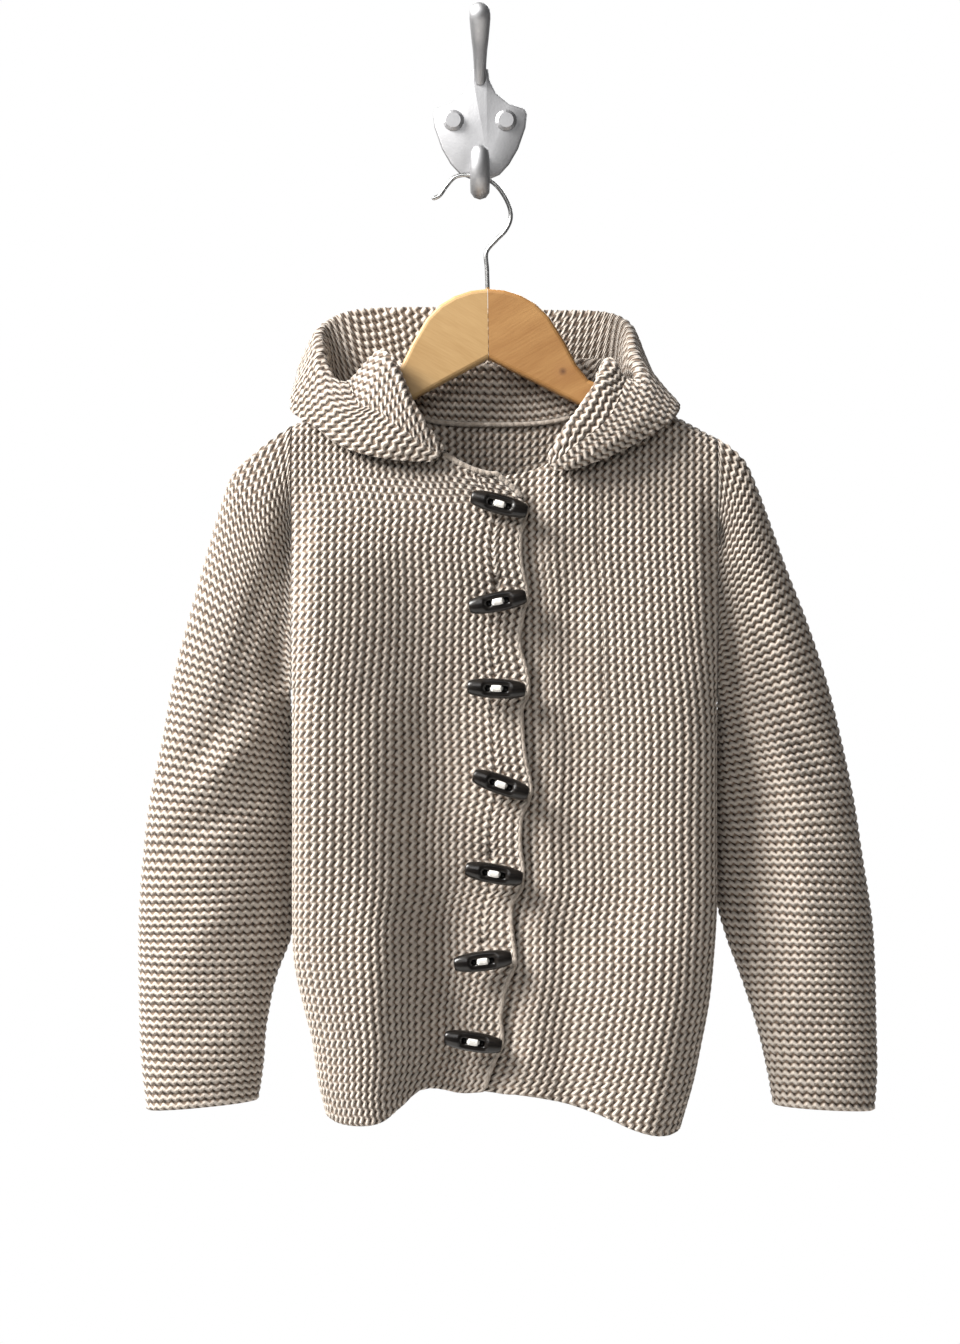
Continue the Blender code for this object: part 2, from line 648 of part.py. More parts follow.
def sleeve_points(table, around=22):
    """Outside points of a sleeve: its first ring is the body's armhole, and the others close in on
    flattened ovals between their outer and inner points."""
    names = table[0]
    rows = [dict(zip(names, row)) for row in table[1:]]
    turn = np.linspace(0.0, 2.0 * math.pi, around, endpoint=False)
    reach = 0.5 - 0.5 * np.cos(turn)
    front = turn <= math.pi
    rings = []
    for k, row in enumerate(rows):
        x = row["inner_x"] + (row["outer_x"] - row["inner_x"]) * reach
        z = row["inner_z"] + (row["outer_z"] - row["inner_z"]) * reach
        middle = row["nose_y"] + (HANGER_Y - row["nose_y"]) * ease(1.6 * reach)
        oval = row["depth"] * arch(1.0 - np.abs(2.0 * reach - 1.0), 2.2)
        y = middle + np.where(front, -oval, oval)
        armhole = np.where(front, front_y(x, z), back_y(x, z))
        share = 1.0 - ease(k / 4.0)
        rings.append(np.stack([x, y + (armhole - y) * share, z], axis=1))
    return np.array(rings)


def build_sleeves():
    """The sleeves, each a tube that turns down from the body's armhole."""
    for name, table in (("sleeve_right", RIGHT_SLEEVE), ("sleeve_left", LEFT_SLEEVE)):
        points = sleeve_points(table)
        away = np.sign(points[-1, :, 0].mean() - points[0, :, 0].mean())
        points[0, :, 0] += away * SEAM / 2.0
        if away > 0.0:
            points = points[:, ::-1]
        normals = evened(surface_normals(points, closed=True), 2, closed=True)
        normals[0, :, 0] = 0.0
        rings = np.arange(len(points))[:, None, None]
        thickness = UNDERARM_CLOTH + (CLOTH - UNDERARM_CLOTH) * ease((rings - 2.0) / 3.0)
        wall_solid(name, points, unit(normals), "knit_greige", thickness, closed=True)


def neck_seam():
    """The hood's seam, closely sampled from its front right end round the back to its front left end.

    It runs HOOD_SEAM off the body's neckline, level with the cloth's outside.  Returns its points, the
    distance run up to each, and which of them lie on the back.
    """
    fine = np.linspace(0.0, 1.0, 160)
    halves = []
    for side, low, powers, outside in (
        (-1.0, FRONT_NECK_Z, (FRONT_NECK_POWER["right"],) * 2, front_y),
        (-1.0, BACK_NECK_Z, (BACK_NECK_POWER,) * 2, back_y),
        (1.0, BACK_NECK_Z, (BACK_NECK_POWER,) * 2, back_y),
        (1.0, FRONT_NECK_Z, (FRONT_NECK_POWER["left"],) * 2, front_y),
    ):
        x = NECK_CENTRE_X + side * NECK_HALF * (1.0 - fine**3)
        z = panel_top(x, low, powers)
        rise = np.hypot(np.gradient(x), np.gradient(z))
        x_off = x - side * HOOD_SEAM * np.abs(np.gradient(z)) / rise
        z_off = z + HOOD_SEAM * np.abs(np.gradient(x)) / rise
        halves.append(np.stack([x_off, outside(x, z), z_off], axis=1))
    points = np.concatenate([halves[0][::-1], halves[1], halves[2][::-1], halves[3]])
    steps = np.linalg.norm(np.diff(points, axis=0), axis=1)
    on_back = np.repeat([False, True, True, False], len(fine))
    return points, np.concatenate([[0.0], np.cumsum(steps)]), on_back


def through(points, places, keys=None):
    """Points on the smooth curve through a list of points, at places counted in its rows.

    The curve is centripetal: its parameter grows with the square root of the distance between rows.
    """
    points = np.asarray(points, dtype=float)
    if keys is None:
        keys = curve_keys(points)
    at = np.interp(places, np.arange(len(points)), keys)
    return np.stack([smooth_through(keys, points[:, i], at) for i in range(3)], axis=1)


def curve_keys(points):
    """Centripetal parameters of a list of points."""
    steps = np.sqrt(np.linalg.norm(np.diff(points, axis=0), axis=1))
    return np.concatenate([[0.0], np.cumsum(np.maximum(steps, 1e-3))])


def rounded(before, point, after, gap):
    """Three points for every row that lead the cloth round a fold: the closer its two legs come
    together, the further the first and last points are moved along them.

    The legs are seen along the fold, whose line runs from row to row.
    """
    fold_line = unit(np.gradient(point, axis=0))
    to_before, to_after = (
        unit(leg - fold_line * np.sum(leg * fold_line, axis=1, keepdims=True))
        for leg in (before - point, after - point)
    )
    closed = 0.5 * (1.0 + np.sum(to_before * to_after, axis=1, keepdims=True))
    sideways, legs = unit(to_after - to_before), unit(to_after + to_before)
    along = legs * gap * closed
    return np.stack([point - sideways * gap + along, point, point + sideways * gap + along], axis=1)


def hood_sections(seam):
    """The hood's sections, one for each row of HOOD, from the given places on its seam to its edge."""
    roll, valley, rim, edge = (column(HOOD, name) for name in ("roll", "valley", "rim", "edge"))
    roll_gap, valley_gap, rim_gap = (
        column(HOOD, name)[:, None] for name in ("roll_gap", "valley_gap", "rim_gap"))
    guides = np.concatenate([
        seam[:, None],
        rounded(seam, roll, valley, roll_gap),
        rounded(roll, valley, rim, valley_gap),
        rounded(valley, rim, edge, rim_gap),
        edge[:, None],
    ], axis=1)
    return np.array([through(section, HOOD_SAMPLES) for section in guides])


def hood_points():
    """Outside points of the hood: sections for the rows of HOOD, and a smooth surface through them,
    lifted clear of the body where it lies on it."""
    seam, run, on_back = neck_seam()
    wrong_side = on_back[None, :] != (column(HOOD, "side") == "back")[:, None]
    distance = np.abs(seam[None, :, 0] - column(HOOD, "seam_x")[:, None]) + wrong_side / MM
    nearest = np.argmin(distance, axis=1)
    sections = hood_sections(seam[nearest])
    keys = np.mean([curve_keys(sections[:, j]) for j in range(len(HOOD_SAMPLES))], axis=0)
    travel = np.linalg.norm(np.diff(sections, axis=0), axis=2).max(axis=1) + HOOD_SPARE
    travel = np.concatenate([[0.0], np.cumsum(travel)])
    places = np.interp(np.linspace(0.0, travel[-1], HOOD_COLUMNS), travel, np.arange(len(sections)))
    grid = np.array([through(sections[:, j], places, keys) for j in range(len(HOOD_SAMPLES))])
    along_seam = np.interp(places, np.arange(len(sections)), run[nearest])
    to_seam = np.stack([np.interp(along_seam, run, seam[:, i]) for i in range(3)], axis=1) - grid[0]
    grid += to_seam * np.clip(1.0 - np.array(HOOD_SAMPLES) / 1.5, 0.0, 1.0)[:, None, None]
    x, y, z = grid[..., 0], grid[..., 1], grid[..., 2]
    lying = (np.array(HOOD_SAMPLES) >= 3.0)[:, None] & (z < read(SHOULDERS, "across", "height", x))
    in_front = np.minimum(y, front_y(x, z) - HOOD_LIFT)
    behind = np.maximum(y, back_y(x, z) + HOOD_LIFT)
    grid[..., 1] = np.where(lying, np.where(y < HANGER_Y, in_front, behind), y)
    return grid


def build_hood():
    """The hood, one wall that stands up from its seam, runs round the neck and lies back."""
    points = hood_points()[:, ::-1]
    normals = surface_normals(points, closed=False)
    along = np.gradient(points[0], axis=0)
    normals[0] = unit(np.stack([along[:, 1], -along[:, 0], np.zeros(len(along))], axis=1))
    rows = np.arange(len(points))[:, None, None]
    thickness = SEAM_CLOTH + (HOOD_CLOTH - SEAM_CLOTH) * ease((rows - 2.0) / 4.0)
    wall_solid("hood", points, evened(normals, 4), "knit_greige", thickness)


# ---- toggles -------------------------------------------------------------------------------------
def build_toggles():
    """Seven barrel toggles on the right front's free edge, each with a flat for its two holes."""
    stations, around = 11, 10
    far = np.linspace(-0.5, 0.5, stations) * TOGGLE_LENGTH
    for number, (x, z, tilt) in enumerate(TOGGLES[1:], start=1):
        mesh = bmesh.new()
        rings = []
        for along in np.linspace(-1.0, 1.0, stations):
            taper = math.sqrt(max(0.0, 1.0 - abs(along) ** TOGGLE_TAPER))
            swell = TOGGLE_END + (1.0 - TOGGLE_END) * taper
            ring = []
            for k in range(around):
                turn = 2.0 * math.pi * (k + 0.5) / around
                side = 0.5 * TOGGLE_WIDTH * swell * math.cos(turn)
                out = 0.5 * TOGGLE_DEPTH * swell * math.sin(turn)
                if abs(along) < FLAT_HALF:
                    out = min(out, FLAT_LEVEL * TOGGLE_DEPTH)
                ring.append(mesh.verts.new((along * TOGGLE_LENGTH / 2.0 * MM, -out * MM, side * MM)))
            rings.append(ring)
        for low, high in zip(rings, rings[1:]):
            for k in range(around):
                m = (k + 1) % around
                mesh.faces.new((low[k], low[m], high[m], high[k]))
        mesh.faces.new(rings[0])
        mesh.faces.new(rings[-1])
        toggle = finish("toggle_%d" % number, mesh, "toggle_dark", sharp_angle=40.0)
        lean = math.radians(tilt)
        nearest = float(np.min(front_y(x + far * math.cos(lean), z - far * math.sin(lean))))
        toggle.location = (x * MM, (nearest - TOGGLE_DEPTH / 2.0 - SEAM) * MM, z * MM)
        toggle.rotation_euler = (0.0, lean, 0.0)


# ---- hanger --------------------------------------------------------------------------------------
def build_hanger():
    """Two flat wooden arms that meet at the middle, and the wire hook above them."""
    place = Matrix.Translation((HANGER_CENTRE[0] * MM, HANGER_Y * MM, HANGER_CENTRE[1] * MM))
    turn = Matrix.Rotation(-HANGER_TILT, 4, "Y")
    across, down = column(HANGER_TOP, "across"), column(HANGER_TOP, "down")
    slots = {"right": (-1.0, "hanger_wood_light"), "left": (1.0, "hanger_wood_warm")}
    for side, (sign, slot) in slots.items():
        mesh = bmesh.new()
        outline = [(max(a, SEAM / 2.0), -d) for a, d in zip(across, down)]
        outline += [(HANGER_HALF - inside, -d) for inside, d in HANGER_TIP[1:]]
        outline += [(SEAM / 2.0, -HANGER_MIDDLE_HEIGHT)]
        half = HANGER_THICK / 2.0
        front = [mesh.verts.new((sign * a * MM, -half * MM, z * MM)) for a, z in outline]
        back = [mesh.verts.new((sign * a * MM, half * MM, z * MM)) for a, z in outline]
        mesh.faces.new(front)
        mesh.faces.new(back[::-1])
        for i in range(len(outline)):
            k = (i + 1) % len(outline)
            mesh.faces.new((front[k], front[i], back[i], back[k]))
        bmesh.ops.recalc_face_normals(mesh, faces=mesh.faces)
        middle = [e for e in mesh.edges if all(abs(v.co.x) < SEAM * MM for v in e.verts)]
        rims = [e for e in mesh.edges if abs(e.verts[0].co.y - e.verts[1].co.y) < 1e-6 and e not in middle]
        bmesh.ops.bevel(mesh, geom=rims, offset=HANGER_ROUND * MM, segments=3, profile=0.5,
                        affect="EDGES")
        mesh.transform(place @ turn)
        finish("hanger_arm_" + side, mesh, slot, sharp_angle=35.0)

    wire = [(x, HANGER_Y, z) for x, z in WIRE[1:]]
    path = through(wire, np.linspace(0.0, len(wire) - 1.0, WIRE_SAMPLES))
    tube("hanger_hook", path, [WIRE_RADIUS] * WIRE_SAMPLES, "hanger_steel", around=7)


def tube_mesh(path, radii, around):
    """A round bar along a path, with closed ends."""
    mesh = bmesh.new()
    ways = np.gradient(path, axis=0)
    ways = ways / np.linalg.norm(ways, axis=1, keepdims=True)
    rings = []
    cross_axis = Vector((0.0, 1.0, 0.0)) if np.ptp(path[:, 1]) < 1e-6 else Vector((1.0, 0.0, 0.0))
    for point, way, radius in zip(path, ways, radii):
        side = Vector(way).cross(cross_axis).normalized()
        ring = []
        for k in range(around):
            turn = 2.0 * math.pi * k / around
            offset = (side * math.cos(turn) + cross_axis * math.sin(turn)) * radius
            ring.append(mesh.verts.new((Vector(point) + offset) * MM))
        rings.append(ring)
    for low, high in zip(rings, rings[1:]):
        for k in range(around):
            m = (k + 1) % around
            mesh.faces.new((low[k], low[m], high[m], high[k]))
    mesh.faces.new(rings[0][::-1])
    mesh.faces.new(rings[-1])
    bmesh.ops.recalc_face_normals(mesh, faces=mesh.faces)
    return mesh


def tube(name, path, radii, slot, around=10):
    """A round bar along a path, as a named object."""
    return finish(name, tube_mesh(np.asarray(path), radii, around), slot)


# ---- wall hook -----------------------------------------------------------------------------------
def arm_path(table, samples=13, nose=3):
    """Centre line and radii of a cast arm, with a rounded nose past its last row."""
    rows = [(0.0, y, z) for y, z, _ in table[1:]]
    path = through(rows, np.linspace(0.0, len(rows) - 1.0, samples))
    radii = np.interp(np.linspace(0.0, 1.0, samples),
                      np.linspace(0.0, 1.0, len(table) - 1), column(table, "radius"))
    way = path[-1] - path[-2]
    way = way / np.linalg.norm(way)
    last = radii[-1]
    turns = np.linspace(0.0, math.pi / 2.0, nose + 2)[1:-1]
    cap = [path[-1] + way * last * math.sin(t) for t in turns] + [path[-1] + way * last * 0.995]
    cap_radii = [last * math.cos(t) for t in turns] + [last * 0.12]
    return np.concatenate([path, cap]), np.concatenate([radii, cap_radii])


def build_wall_hook():
    """A cast plate with a long upper arm and a lower hook, fused in one, and its two screws."""
    half, level = column(PLATE, "half"), column(PLATE, "level")
    outline = list(zip(half, level)) + [(-a, b) for a, b in list(zip(half, level))[::-1]]
    mesh = bmesh.new()
    back = [mesh.verts.new((a * MM, 0.0, b * MM)) for a, b in outline]
    front = [mesh.verts.new((a * MM, -PLATE_THICK * MM, b * MM)) for a, b in outline]
    mesh.faces.new(back)
    mesh.faces.new(front[::-1])
    for i in range(len(outline)):
        k = (i + 1) % len(outline)
        mesh.faces.new((back[k], back[i], front[i], front[k]))
    bmesh.ops.recalc_face_normals(mesh, faces=mesh.faces)
    rims = [e for e in mesh.edges if all(v.co.y < -0.5 * PLATE_THICK * MM for v in e.verts)]
    bmesh.ops.bevel(mesh, geom=rims, offset=PLATE_ROUND * MM, segments=2, profile=0.5, affect="EDGES")
    hook = finish("wall_hook", mesh, "cast_metal", sharp_angle=35.0)
    for table in (HOOK_ARM, HAT_ARM):
        path, radii = arm_path(table)
        arm = tube("cutter", path, radii, "cast_metal", around=10)
        arm.hide_render = True
        arm.display_type = "WIRE"
        join = hook.modifiers.new("join", "BOOLEAN")
        join.operation = "UNION"
        join.solver = "EXACT"
        join.object = arm
    for number, (x, z) in enumerate(SCREWS[1:], start=1):
        mesh = bmesh.new()
        bmesh.ops.create_cone(mesh, cap_ends=True, segments=20, radius1=SCREW_BASE * MM,
                              radius2=SCREW_TOP * MM, depth=SCREW_HEIGHT * MM)
        mesh.transform(Matrix.Rotation(math.pi / 2.0, 4, "X"))
        screw = finish("wall_screw_%d" % number, mesh, "cast_metal", sharp_angle=35.0)
        screw.location = (x * MM, -(PLATE_THICK + SEAM + SCREW_HEIGHT / 2.0) * MM, z * MM)


def main():
    for old in list(bpy.data.objects):
        bpy.data.objects.remove(old, do_unlink=True)
    build_fronts()
    build_back()
    build_sleeves()
    build_hood()
    build_toggles()
    build_hanger()
    build_wall_hook()


main()
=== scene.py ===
# %% [markdown]
# # A hooded garter-stitch jacket on its hanger
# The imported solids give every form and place.  This lesson dresses them: the cloth becomes real
# knitting, in relief and in colour, and the wood, wire, horn and cast metal get their own surfaces.
# All sizes below are in millimetres, and the meshes are written in metres.

# %% The frame
import json
import math

import bpy
import numpy as np
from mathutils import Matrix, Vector

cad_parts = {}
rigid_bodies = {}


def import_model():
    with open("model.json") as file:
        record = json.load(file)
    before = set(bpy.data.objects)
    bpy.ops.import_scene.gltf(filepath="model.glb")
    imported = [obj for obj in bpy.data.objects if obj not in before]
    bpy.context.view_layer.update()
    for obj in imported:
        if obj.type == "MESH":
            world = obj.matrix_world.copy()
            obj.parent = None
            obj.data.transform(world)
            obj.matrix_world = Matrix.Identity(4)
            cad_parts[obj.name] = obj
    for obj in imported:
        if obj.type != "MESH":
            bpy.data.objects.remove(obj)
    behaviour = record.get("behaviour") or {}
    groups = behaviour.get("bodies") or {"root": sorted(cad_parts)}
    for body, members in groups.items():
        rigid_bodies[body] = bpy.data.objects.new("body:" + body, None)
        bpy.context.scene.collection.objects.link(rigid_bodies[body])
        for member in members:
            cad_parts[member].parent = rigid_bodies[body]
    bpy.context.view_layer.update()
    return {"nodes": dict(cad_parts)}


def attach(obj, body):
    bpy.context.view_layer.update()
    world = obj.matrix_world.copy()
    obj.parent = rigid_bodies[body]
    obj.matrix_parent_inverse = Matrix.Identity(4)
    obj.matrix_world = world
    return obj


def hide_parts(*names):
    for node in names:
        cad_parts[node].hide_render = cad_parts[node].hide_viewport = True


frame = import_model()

MM = 0.001
print("solids:", len(frame["nodes"]))

# %% [markdown]
# ## The sizes of the solids
# The cloth pieces are worked out again from the sizes and tables that the solids were made from, so
# every new surface lies on its solid, but for the creases and the scalloped edge that it adds.

# %% Sizes
CLOTH = 3.0                 # thickness of the garter-stitch cloth
HOOD_CLOTH = 2.2            # and of the hood's, which is pulled tighter where it folds
SEAM_CLOTH = 1.5            # and of its edge on the neck seam
SEAM = 0.3                  # hairline between neighbouring pieces
HOOD_SEAM = 1.0             # the same round the curved neckline
HOOD_LIFT = 1.0             # the laid-back hood stays this clear of the cloth under it
HANGER_Y = -42.0            # the plane of the hanger, in front of the wall
PROBE = 0.5                 # half the step over which the cloth's slope is measured
UNDERARM_Z = -350.0
CREASE_TOP_Z = -215.0       # the underarm crease fades out here
SIDE_ROLL = 28.0            # width over which the cloth rolls round the body's side
SIDE_NOSE = -7.0            # the side's fold lies this far in front of the hanger plane
ARCH_DEPTH = 10.6           # the cloth folds over the hanger's top edge in this half depth
ARCH_DROP = 10.0
SWELL_DROP = 120.0          # below it the body has its full depth
FRONT_DEPTH = 25.0
BACK_DEPTH = 17.0
NECK_CENTRE_X = 8.5
NECK_HALF = 63.5
FRONT_NECK_Z = -221.5
BACK_NECK_Z = -188.8
FRONT_NECK_POWER = {"right": 1.6, "left": 2.1}
BACK_NECK_POWER = 3.0
OVERLAP = 34.0              # the left front runs on this far under the right front
FULL_LAP_Z = -262.0         # above it the right front's corner is rounded off
LAP_GAP = 1.3               # between the two fronts where they lap
LAP_CLEAR = 4.0             # the left front lies low for this far past the right one's edge
LAP_STEP = 14.0             # and comes up level with it over this width
TOGGLE_LENGTH = 35.0
TOGGLE_WIDTH = 12.0
TOGGLE_DEPTH = 10.0
TOGGLE_END = 0.42           # size of its ends, as a share of the middle
TOGGLE_TAPER = 2.3
FLAT_HALF = 0.34            # its flat runs over this share of the half length
FLAT_LEVEL = 0.32           # and lies at this share of its depth
WIRE_RADIUS = 1.3
print("cloth:", CLOTH, "mm thick, the hood's:", HOOD_CLOTH, "mm")

# %% [markdown]
# ## The body's outline
# A knitted garment has hardly a straight line, so each outline is a short table of measured points and
# a curve goes through them.  That keeps a shape easy to read and to change.  Here are the body's sides
# at each level, the ridge of the shoulders, the hem, the free edge of the right front and the folds.

# %% Tables of the body
# Level: height, the body's side on the wearer's right and left.
SIDES = (
    ("level", "right", "left"),
    (-150.0, -113.0, 142.5),
    (-350.0, -113.0, 142.5),
    (-450.0, -113.0, 142.5),
    (-480.0, -113.0, 142.5),
    (-512.0, -112.0, 140.5),
    (-536.0, -107.0, 138.0),
    (-560.0, -101.0, 133.5),
    (-584.0, -97.5, 128.5),
    (-605.0, -92.5, 122.5),
    (-620.0, -90.0, 118.0),
)
# The ridge that the cloth folds over: along it the hanger carries the shoulders.
SHOULDERS = (
    ("across", "height"),
    (-113.0, -190.5),
    (-84.0, -174.5),
    (-55.0, -157.5),
    (-20.0, -138.0),
    (8.5, -130.0),
    (40.0, -141.0),
    (72.0, -160.0),
    (108.0, -179.5),
    (142.5, -198.0),
)
HEM = (
    ("across", "height"),
    (-100.0, -601.0),
    (-88.0, -606.5),
    (-74.0, -607.5),
    (-57.0, -605.0),
    (-45.0, -597.0),
    (-36.0, -590.0),
    (-12.0, -592.0),
    (4.0, -590.5),
    (20.0, -591.0),
    (46.0, -595.0),
    (70.0, -602.0),
    (92.0, -611.0),
    (110.0, -615.0),
    (121.0, -613.0),
    (128.0, -606.0),
)
# The free edge of the right front, from the neckline down.
FREE_EDGE = (
    ("level", "across"),
    (-222.0, 10.5),
    (-227.0, 15.5),
    (-232.0, 21.5),
    (-238.0, 27.0),
    (-244.0, 28.8),
    (-262.0, 26.0),
    (-290.0, 28.5),
    (-318.0, 29.0),
    (-350.0, 27.0),
    (-385.0, 28.0),
    (-433.0, 25.0),
    (-470.0, 25.5),
    (-490.0, 20.0),
    (-520.0, 19.5),
    (-545.0, 14.5),
    (-575.0, 9.0),
    (-592.0, 0.5),
)
# Folds in the fronts: where the crest runs, how wide it is and how far it stands out.
FOLDS = (
    ("name", "top_x", "top_z", "foot_x", "foot_z", "width", "push"),
    ("right_front_bulge", -72.0, -430.0, -70.0, -640.0, 30.0, 9.0),
    ("right_front_valley", -36.0, -440.0, -32.0, -640.0, 16.0, -8.0),
    ("left_front_dent", 52.0, -330.0, 78.0, -470.0, 26.0, -6.0),
    ("left_front_bulge", 104.0, -440.0, 100.0, -640.0, 34.0, 6.0),
)
print("body:", len(SIDES) - 1, "levels,", len(HEM) - 1, "points of the hem,", len(FOLDS) - 1, "folds")

# %% [markdown]
# ## The rings of the sleeves
# A sleeve is a soft tube, and rings describe it well: each runs from the outer fold to the inner one.
# Its two end points, the inner point's place front to back and half its depth are enough for a ring.

# %% Tables of the sleeves
# Rings of the sleeves: outer and inner point of each, the inner point's place front to back, half depth.
RIGHT_SLEEVE = (
    ("outer_x", "outer_z", "inner_x", "inner_z", "nose_y", "depth"),
    (-113.0, -190.5, -113.0, -350.0, -49.0, 17.0),
    (-124.0, -198.0, -117.0, -353.0, -46.0, 17.0),
    (-137.0, -208.0, -119.0, -358.0, -42.0, 17.0),
    (-149.5, -220.0, -119.0, -364.5, -38.0, 18.0),
    (-157.5, -241.0, -117.5, -372.5, -34.5, 19.0),
    (-166.5, -272.0, -114.5, -382.5, -32.0, 20.0),
    (-176.5, -308.0, -111.5, -395.0, -31.0, 20.0),
    (-185.5, -344.0, -109.5, -408.0, -31.0, 19.0),
    (-192.0, -380.0, -109.5, -430.0, -31.0, 18.0),
    (-199.5, -416.0, -109.5, -453.0, -31.0, 20.0),
    (-203.7, -452.0, -110.5, -476.0, -32.0, 21.0),
    (-206.0, -488.0, -113.5, -499.0, -34.0, 21.0),
    (-206.1, -522.0, -122.5, -524.0, -38.0, 20.0),
    (-205.5, -552.0, -128.0, -552.0, -40.0, 19.0),
    (-204.0, -578.0, -130.0, -577.0, -41.0, 18.0),
    (-201.0, -603.0, -133.0, -597.0, -41.0, 16.0),
)
LEFT_SLEEVE = (
    ("outer_x", "outer_z", "inner_x", "inner_z", "nose_y", "depth"),
    (142.5, -198.0, 142.5, -350.0, -49.0, 17.0),
    (150.5, -203.5, 146.5, -353.0, -46.0, 17.0),
    (160.0, -213.0, 148.5, -358.0, -42.0, 17.0),
    (167.5, -229.0, 148.5, -364.5, -38.0, 18.0),
    (175.0, -249.0, 147.0, -372.5, -34.5, 19.0),
    (185.0, -277.0, 144.0, -382.5, -32.0, 20.0),
    (197.0, -308.0, 141.0, -395.0, -31.0, 20.0),
    (209.0, -344.0, 139.0, -408.0, -31.0, 19.0),
    (218.0, -380.0, 139.0, -430.0, -31.0, 18.0),
    (225.5, -416.0, 139.5, -453.0, -31.0, 20.0),
    (231.0, -452.0, 142.0, -476.0, -32.0, 21.0),
    (236.5, -488.0, 148.0, -499.0, -36.0, 21.0),
    (238.4, -522.0, 157.0, -524.0, -40.0, 20.0),
    (239.0, -552.0, 166.0, -552.0, -41.0, 19.0),
    (239.5, -578.0, 172.0, -577.0, -41.0, 18.0),
    (238.0, -603.0, 176.0, -600.0, -41.0, 16.0),
)
print("rings:", len(RIGHT_SLEEVE) - 1, "on the right,", len(LEFT_SLEEVE) - 1, "on the left")

# %% [markdown]
# ## The rows of the hood
# A hood that is laid back lies in folds: from the neck seam the cloth rises to its first roll, drops
# into the valley, rises to the rim and turns over to the face edge.  Those four points, and how closely
# the cloth folds at each, make one row of the table for every place round the neck seam.

# %% Table of the hood
HOOD = (
    ("seam_x", "side", "roll", "valley", "rim", "edge", "roll_gap", "valley_gap", "rim_gap"),
    (-20.0, "front", (-22.0, -64.0, -207.0), (-24.0, -66.0, -210.0), (-26.0, -66.0, -212.0),
     (-29.0, -66.0, -214.0), 0.6, 0.6, 0.6),
    (-29.0, "front", (-33.0, -66.0, -192.0), (-38.0, -68.0, -201.0), (-43.0, -68.0, -208.0),
     (-46.0, -66.0, -213.0), 2.0, 0.6, 0.6),
    (-39.0, "front", (-41.0, -66.0, -179.0), (-49.0, -68.0, -193.0), (-57.0, -68.0, -204.0),
     (-62.0, -64.0, -210.5), 2.5, 0.6, 0.6),
    (-48.0, "front", (-47.0, -62.0, -164.0), (-60.0, -64.0, -184.0), (-74.0, -64.0, -198.0),
     (-82.0, -60.0, -204.5), 2.5, 0.6, 0.6),
    (-53.0, "front", (-54.0, -56.0, -151.0), (-72.0, -59.0, -180.0), (-87.0, -59.0, -184.0),
     (-99.0, -55.0, -192.0), 2.5, 2.0, 1.0),
    (-55.0, "front", (-60.0, -45.0, -147.5), (-80.0, -47.0, -166.0), (-94.0, -48.0, -163.0),
     (-113.0, -46.0, -182.0), 2.5, 3.5, 2.0),
    (-53.0, "back", (-59.0, -30.0, -151.0), (-83.0, -28.0, -180.0), (-97.0, -33.0, -143.0),
     (-111.0, -32.0, -165.0), 2.5, 4.5, 2.0),
    (-46.0, "back", (-52.0, -26.0, -153.0), (-80.0, -21.0, -214.0), (-97.0, -17.0, -130.0),
     (-106.0, -13.0, -146.0), 2.5, 5.5, 2.0),
    (-34.0, "back", (-38.0, -25.0, -153.0), (-61.0, -16.0, -264.0), (-80.0, -11.0, -120.0),
     (-84.0, -7.0, -130.0), 2.5, 6.5, 2.0),
    (-15.0, "back", (-17.0, -25.0, -153.0), (-30.0, -16.0, -300.0), (-42.0, -10.0, -117.5),
     (-44.0, -6.0, -126.0), 2.5, 6.5, 2.0),
    (8.0, "back", (8.0, -25.0, -153.0), (4.0, -16.0, -313.0), (4.0, -10.0, -118.5),
     (4.0, -6.0, -126.0), 2.5, 6.5, 2.0),
    (32.0, "back", (35.0, -25.0, -152.0), (38.0, -16.0, -302.0), (48.0, -10.0, -119.5),
     (49.0, -6.0, -128.0), 2.5, 6.5, 2.0),
    (52.0, "back", (56.0, -25.5, -151.0), (66.0, -16.0, -266.0), (78.0, -12.0, -121.0),
     (82.0, -8.0, -131.0), 2.5, 6.5, 2.0),
    (64.0, "back", (69.5, -27.0, -150.5), (82.0, -21.0, -214.0), (91.0, -19.0, -129.0),
     (98.0, -15.0, -147.0), 2.5, 5.5, 2.0),
    (70.5, "back", (76.0, -32.0, -151.5), (88.0, -27.0, -178.0), (93.0, -34.0, -146.0),
     (108.0, -32.0, -167.0), 2.5, 4.0, 2.0),
    (72.0, "front", (77.0, -46.5, -152.5), (88.0, -48.0, -164.0), (99.0, -50.0, -165.0),
     (119.0, -46.0, -179.0), 2.5, 3.5, 2.0),
    (67.5, "front", (70.0, -58.0, -167.0), (82.0, -60.0, -178.0), (98.0, -60.0, -184.0),
     (114.0, -56.0, -189.0), 2.5, 2.0, 1.0),
    (62.5, "front", (61.0, -62.0, -181.0), (74.0, -65.0, -191.0), (87.0, -65.0, -197.0),
     (97.0, -61.0, -200.0), 2.5, 0.6, 0.6),
    (56.0, "front", (52.0, -66.0, -193.0), (60.0, -68.0, -202.0), (68.0, -68.0, -208.0),
     (75.0, -65.0, -211.0), 2.5, 0.6, 0.6),
    (47.0, "front", (45.0, -66.0, -205.0), (49.0, -68.0, -211.0), (54.0, -68.0, -215.0),
     (58.0, -66.0, -217.0), 2.0, 0.6, 0.6),
    (41.0, "front", (41.0, -65.0, -213.0), (42.0, -66.0, -216.0), (44.0, -66.0, -218.0),
     (46.0, -66.0, -219.5), 0.6, 0.6, 0.6),
)
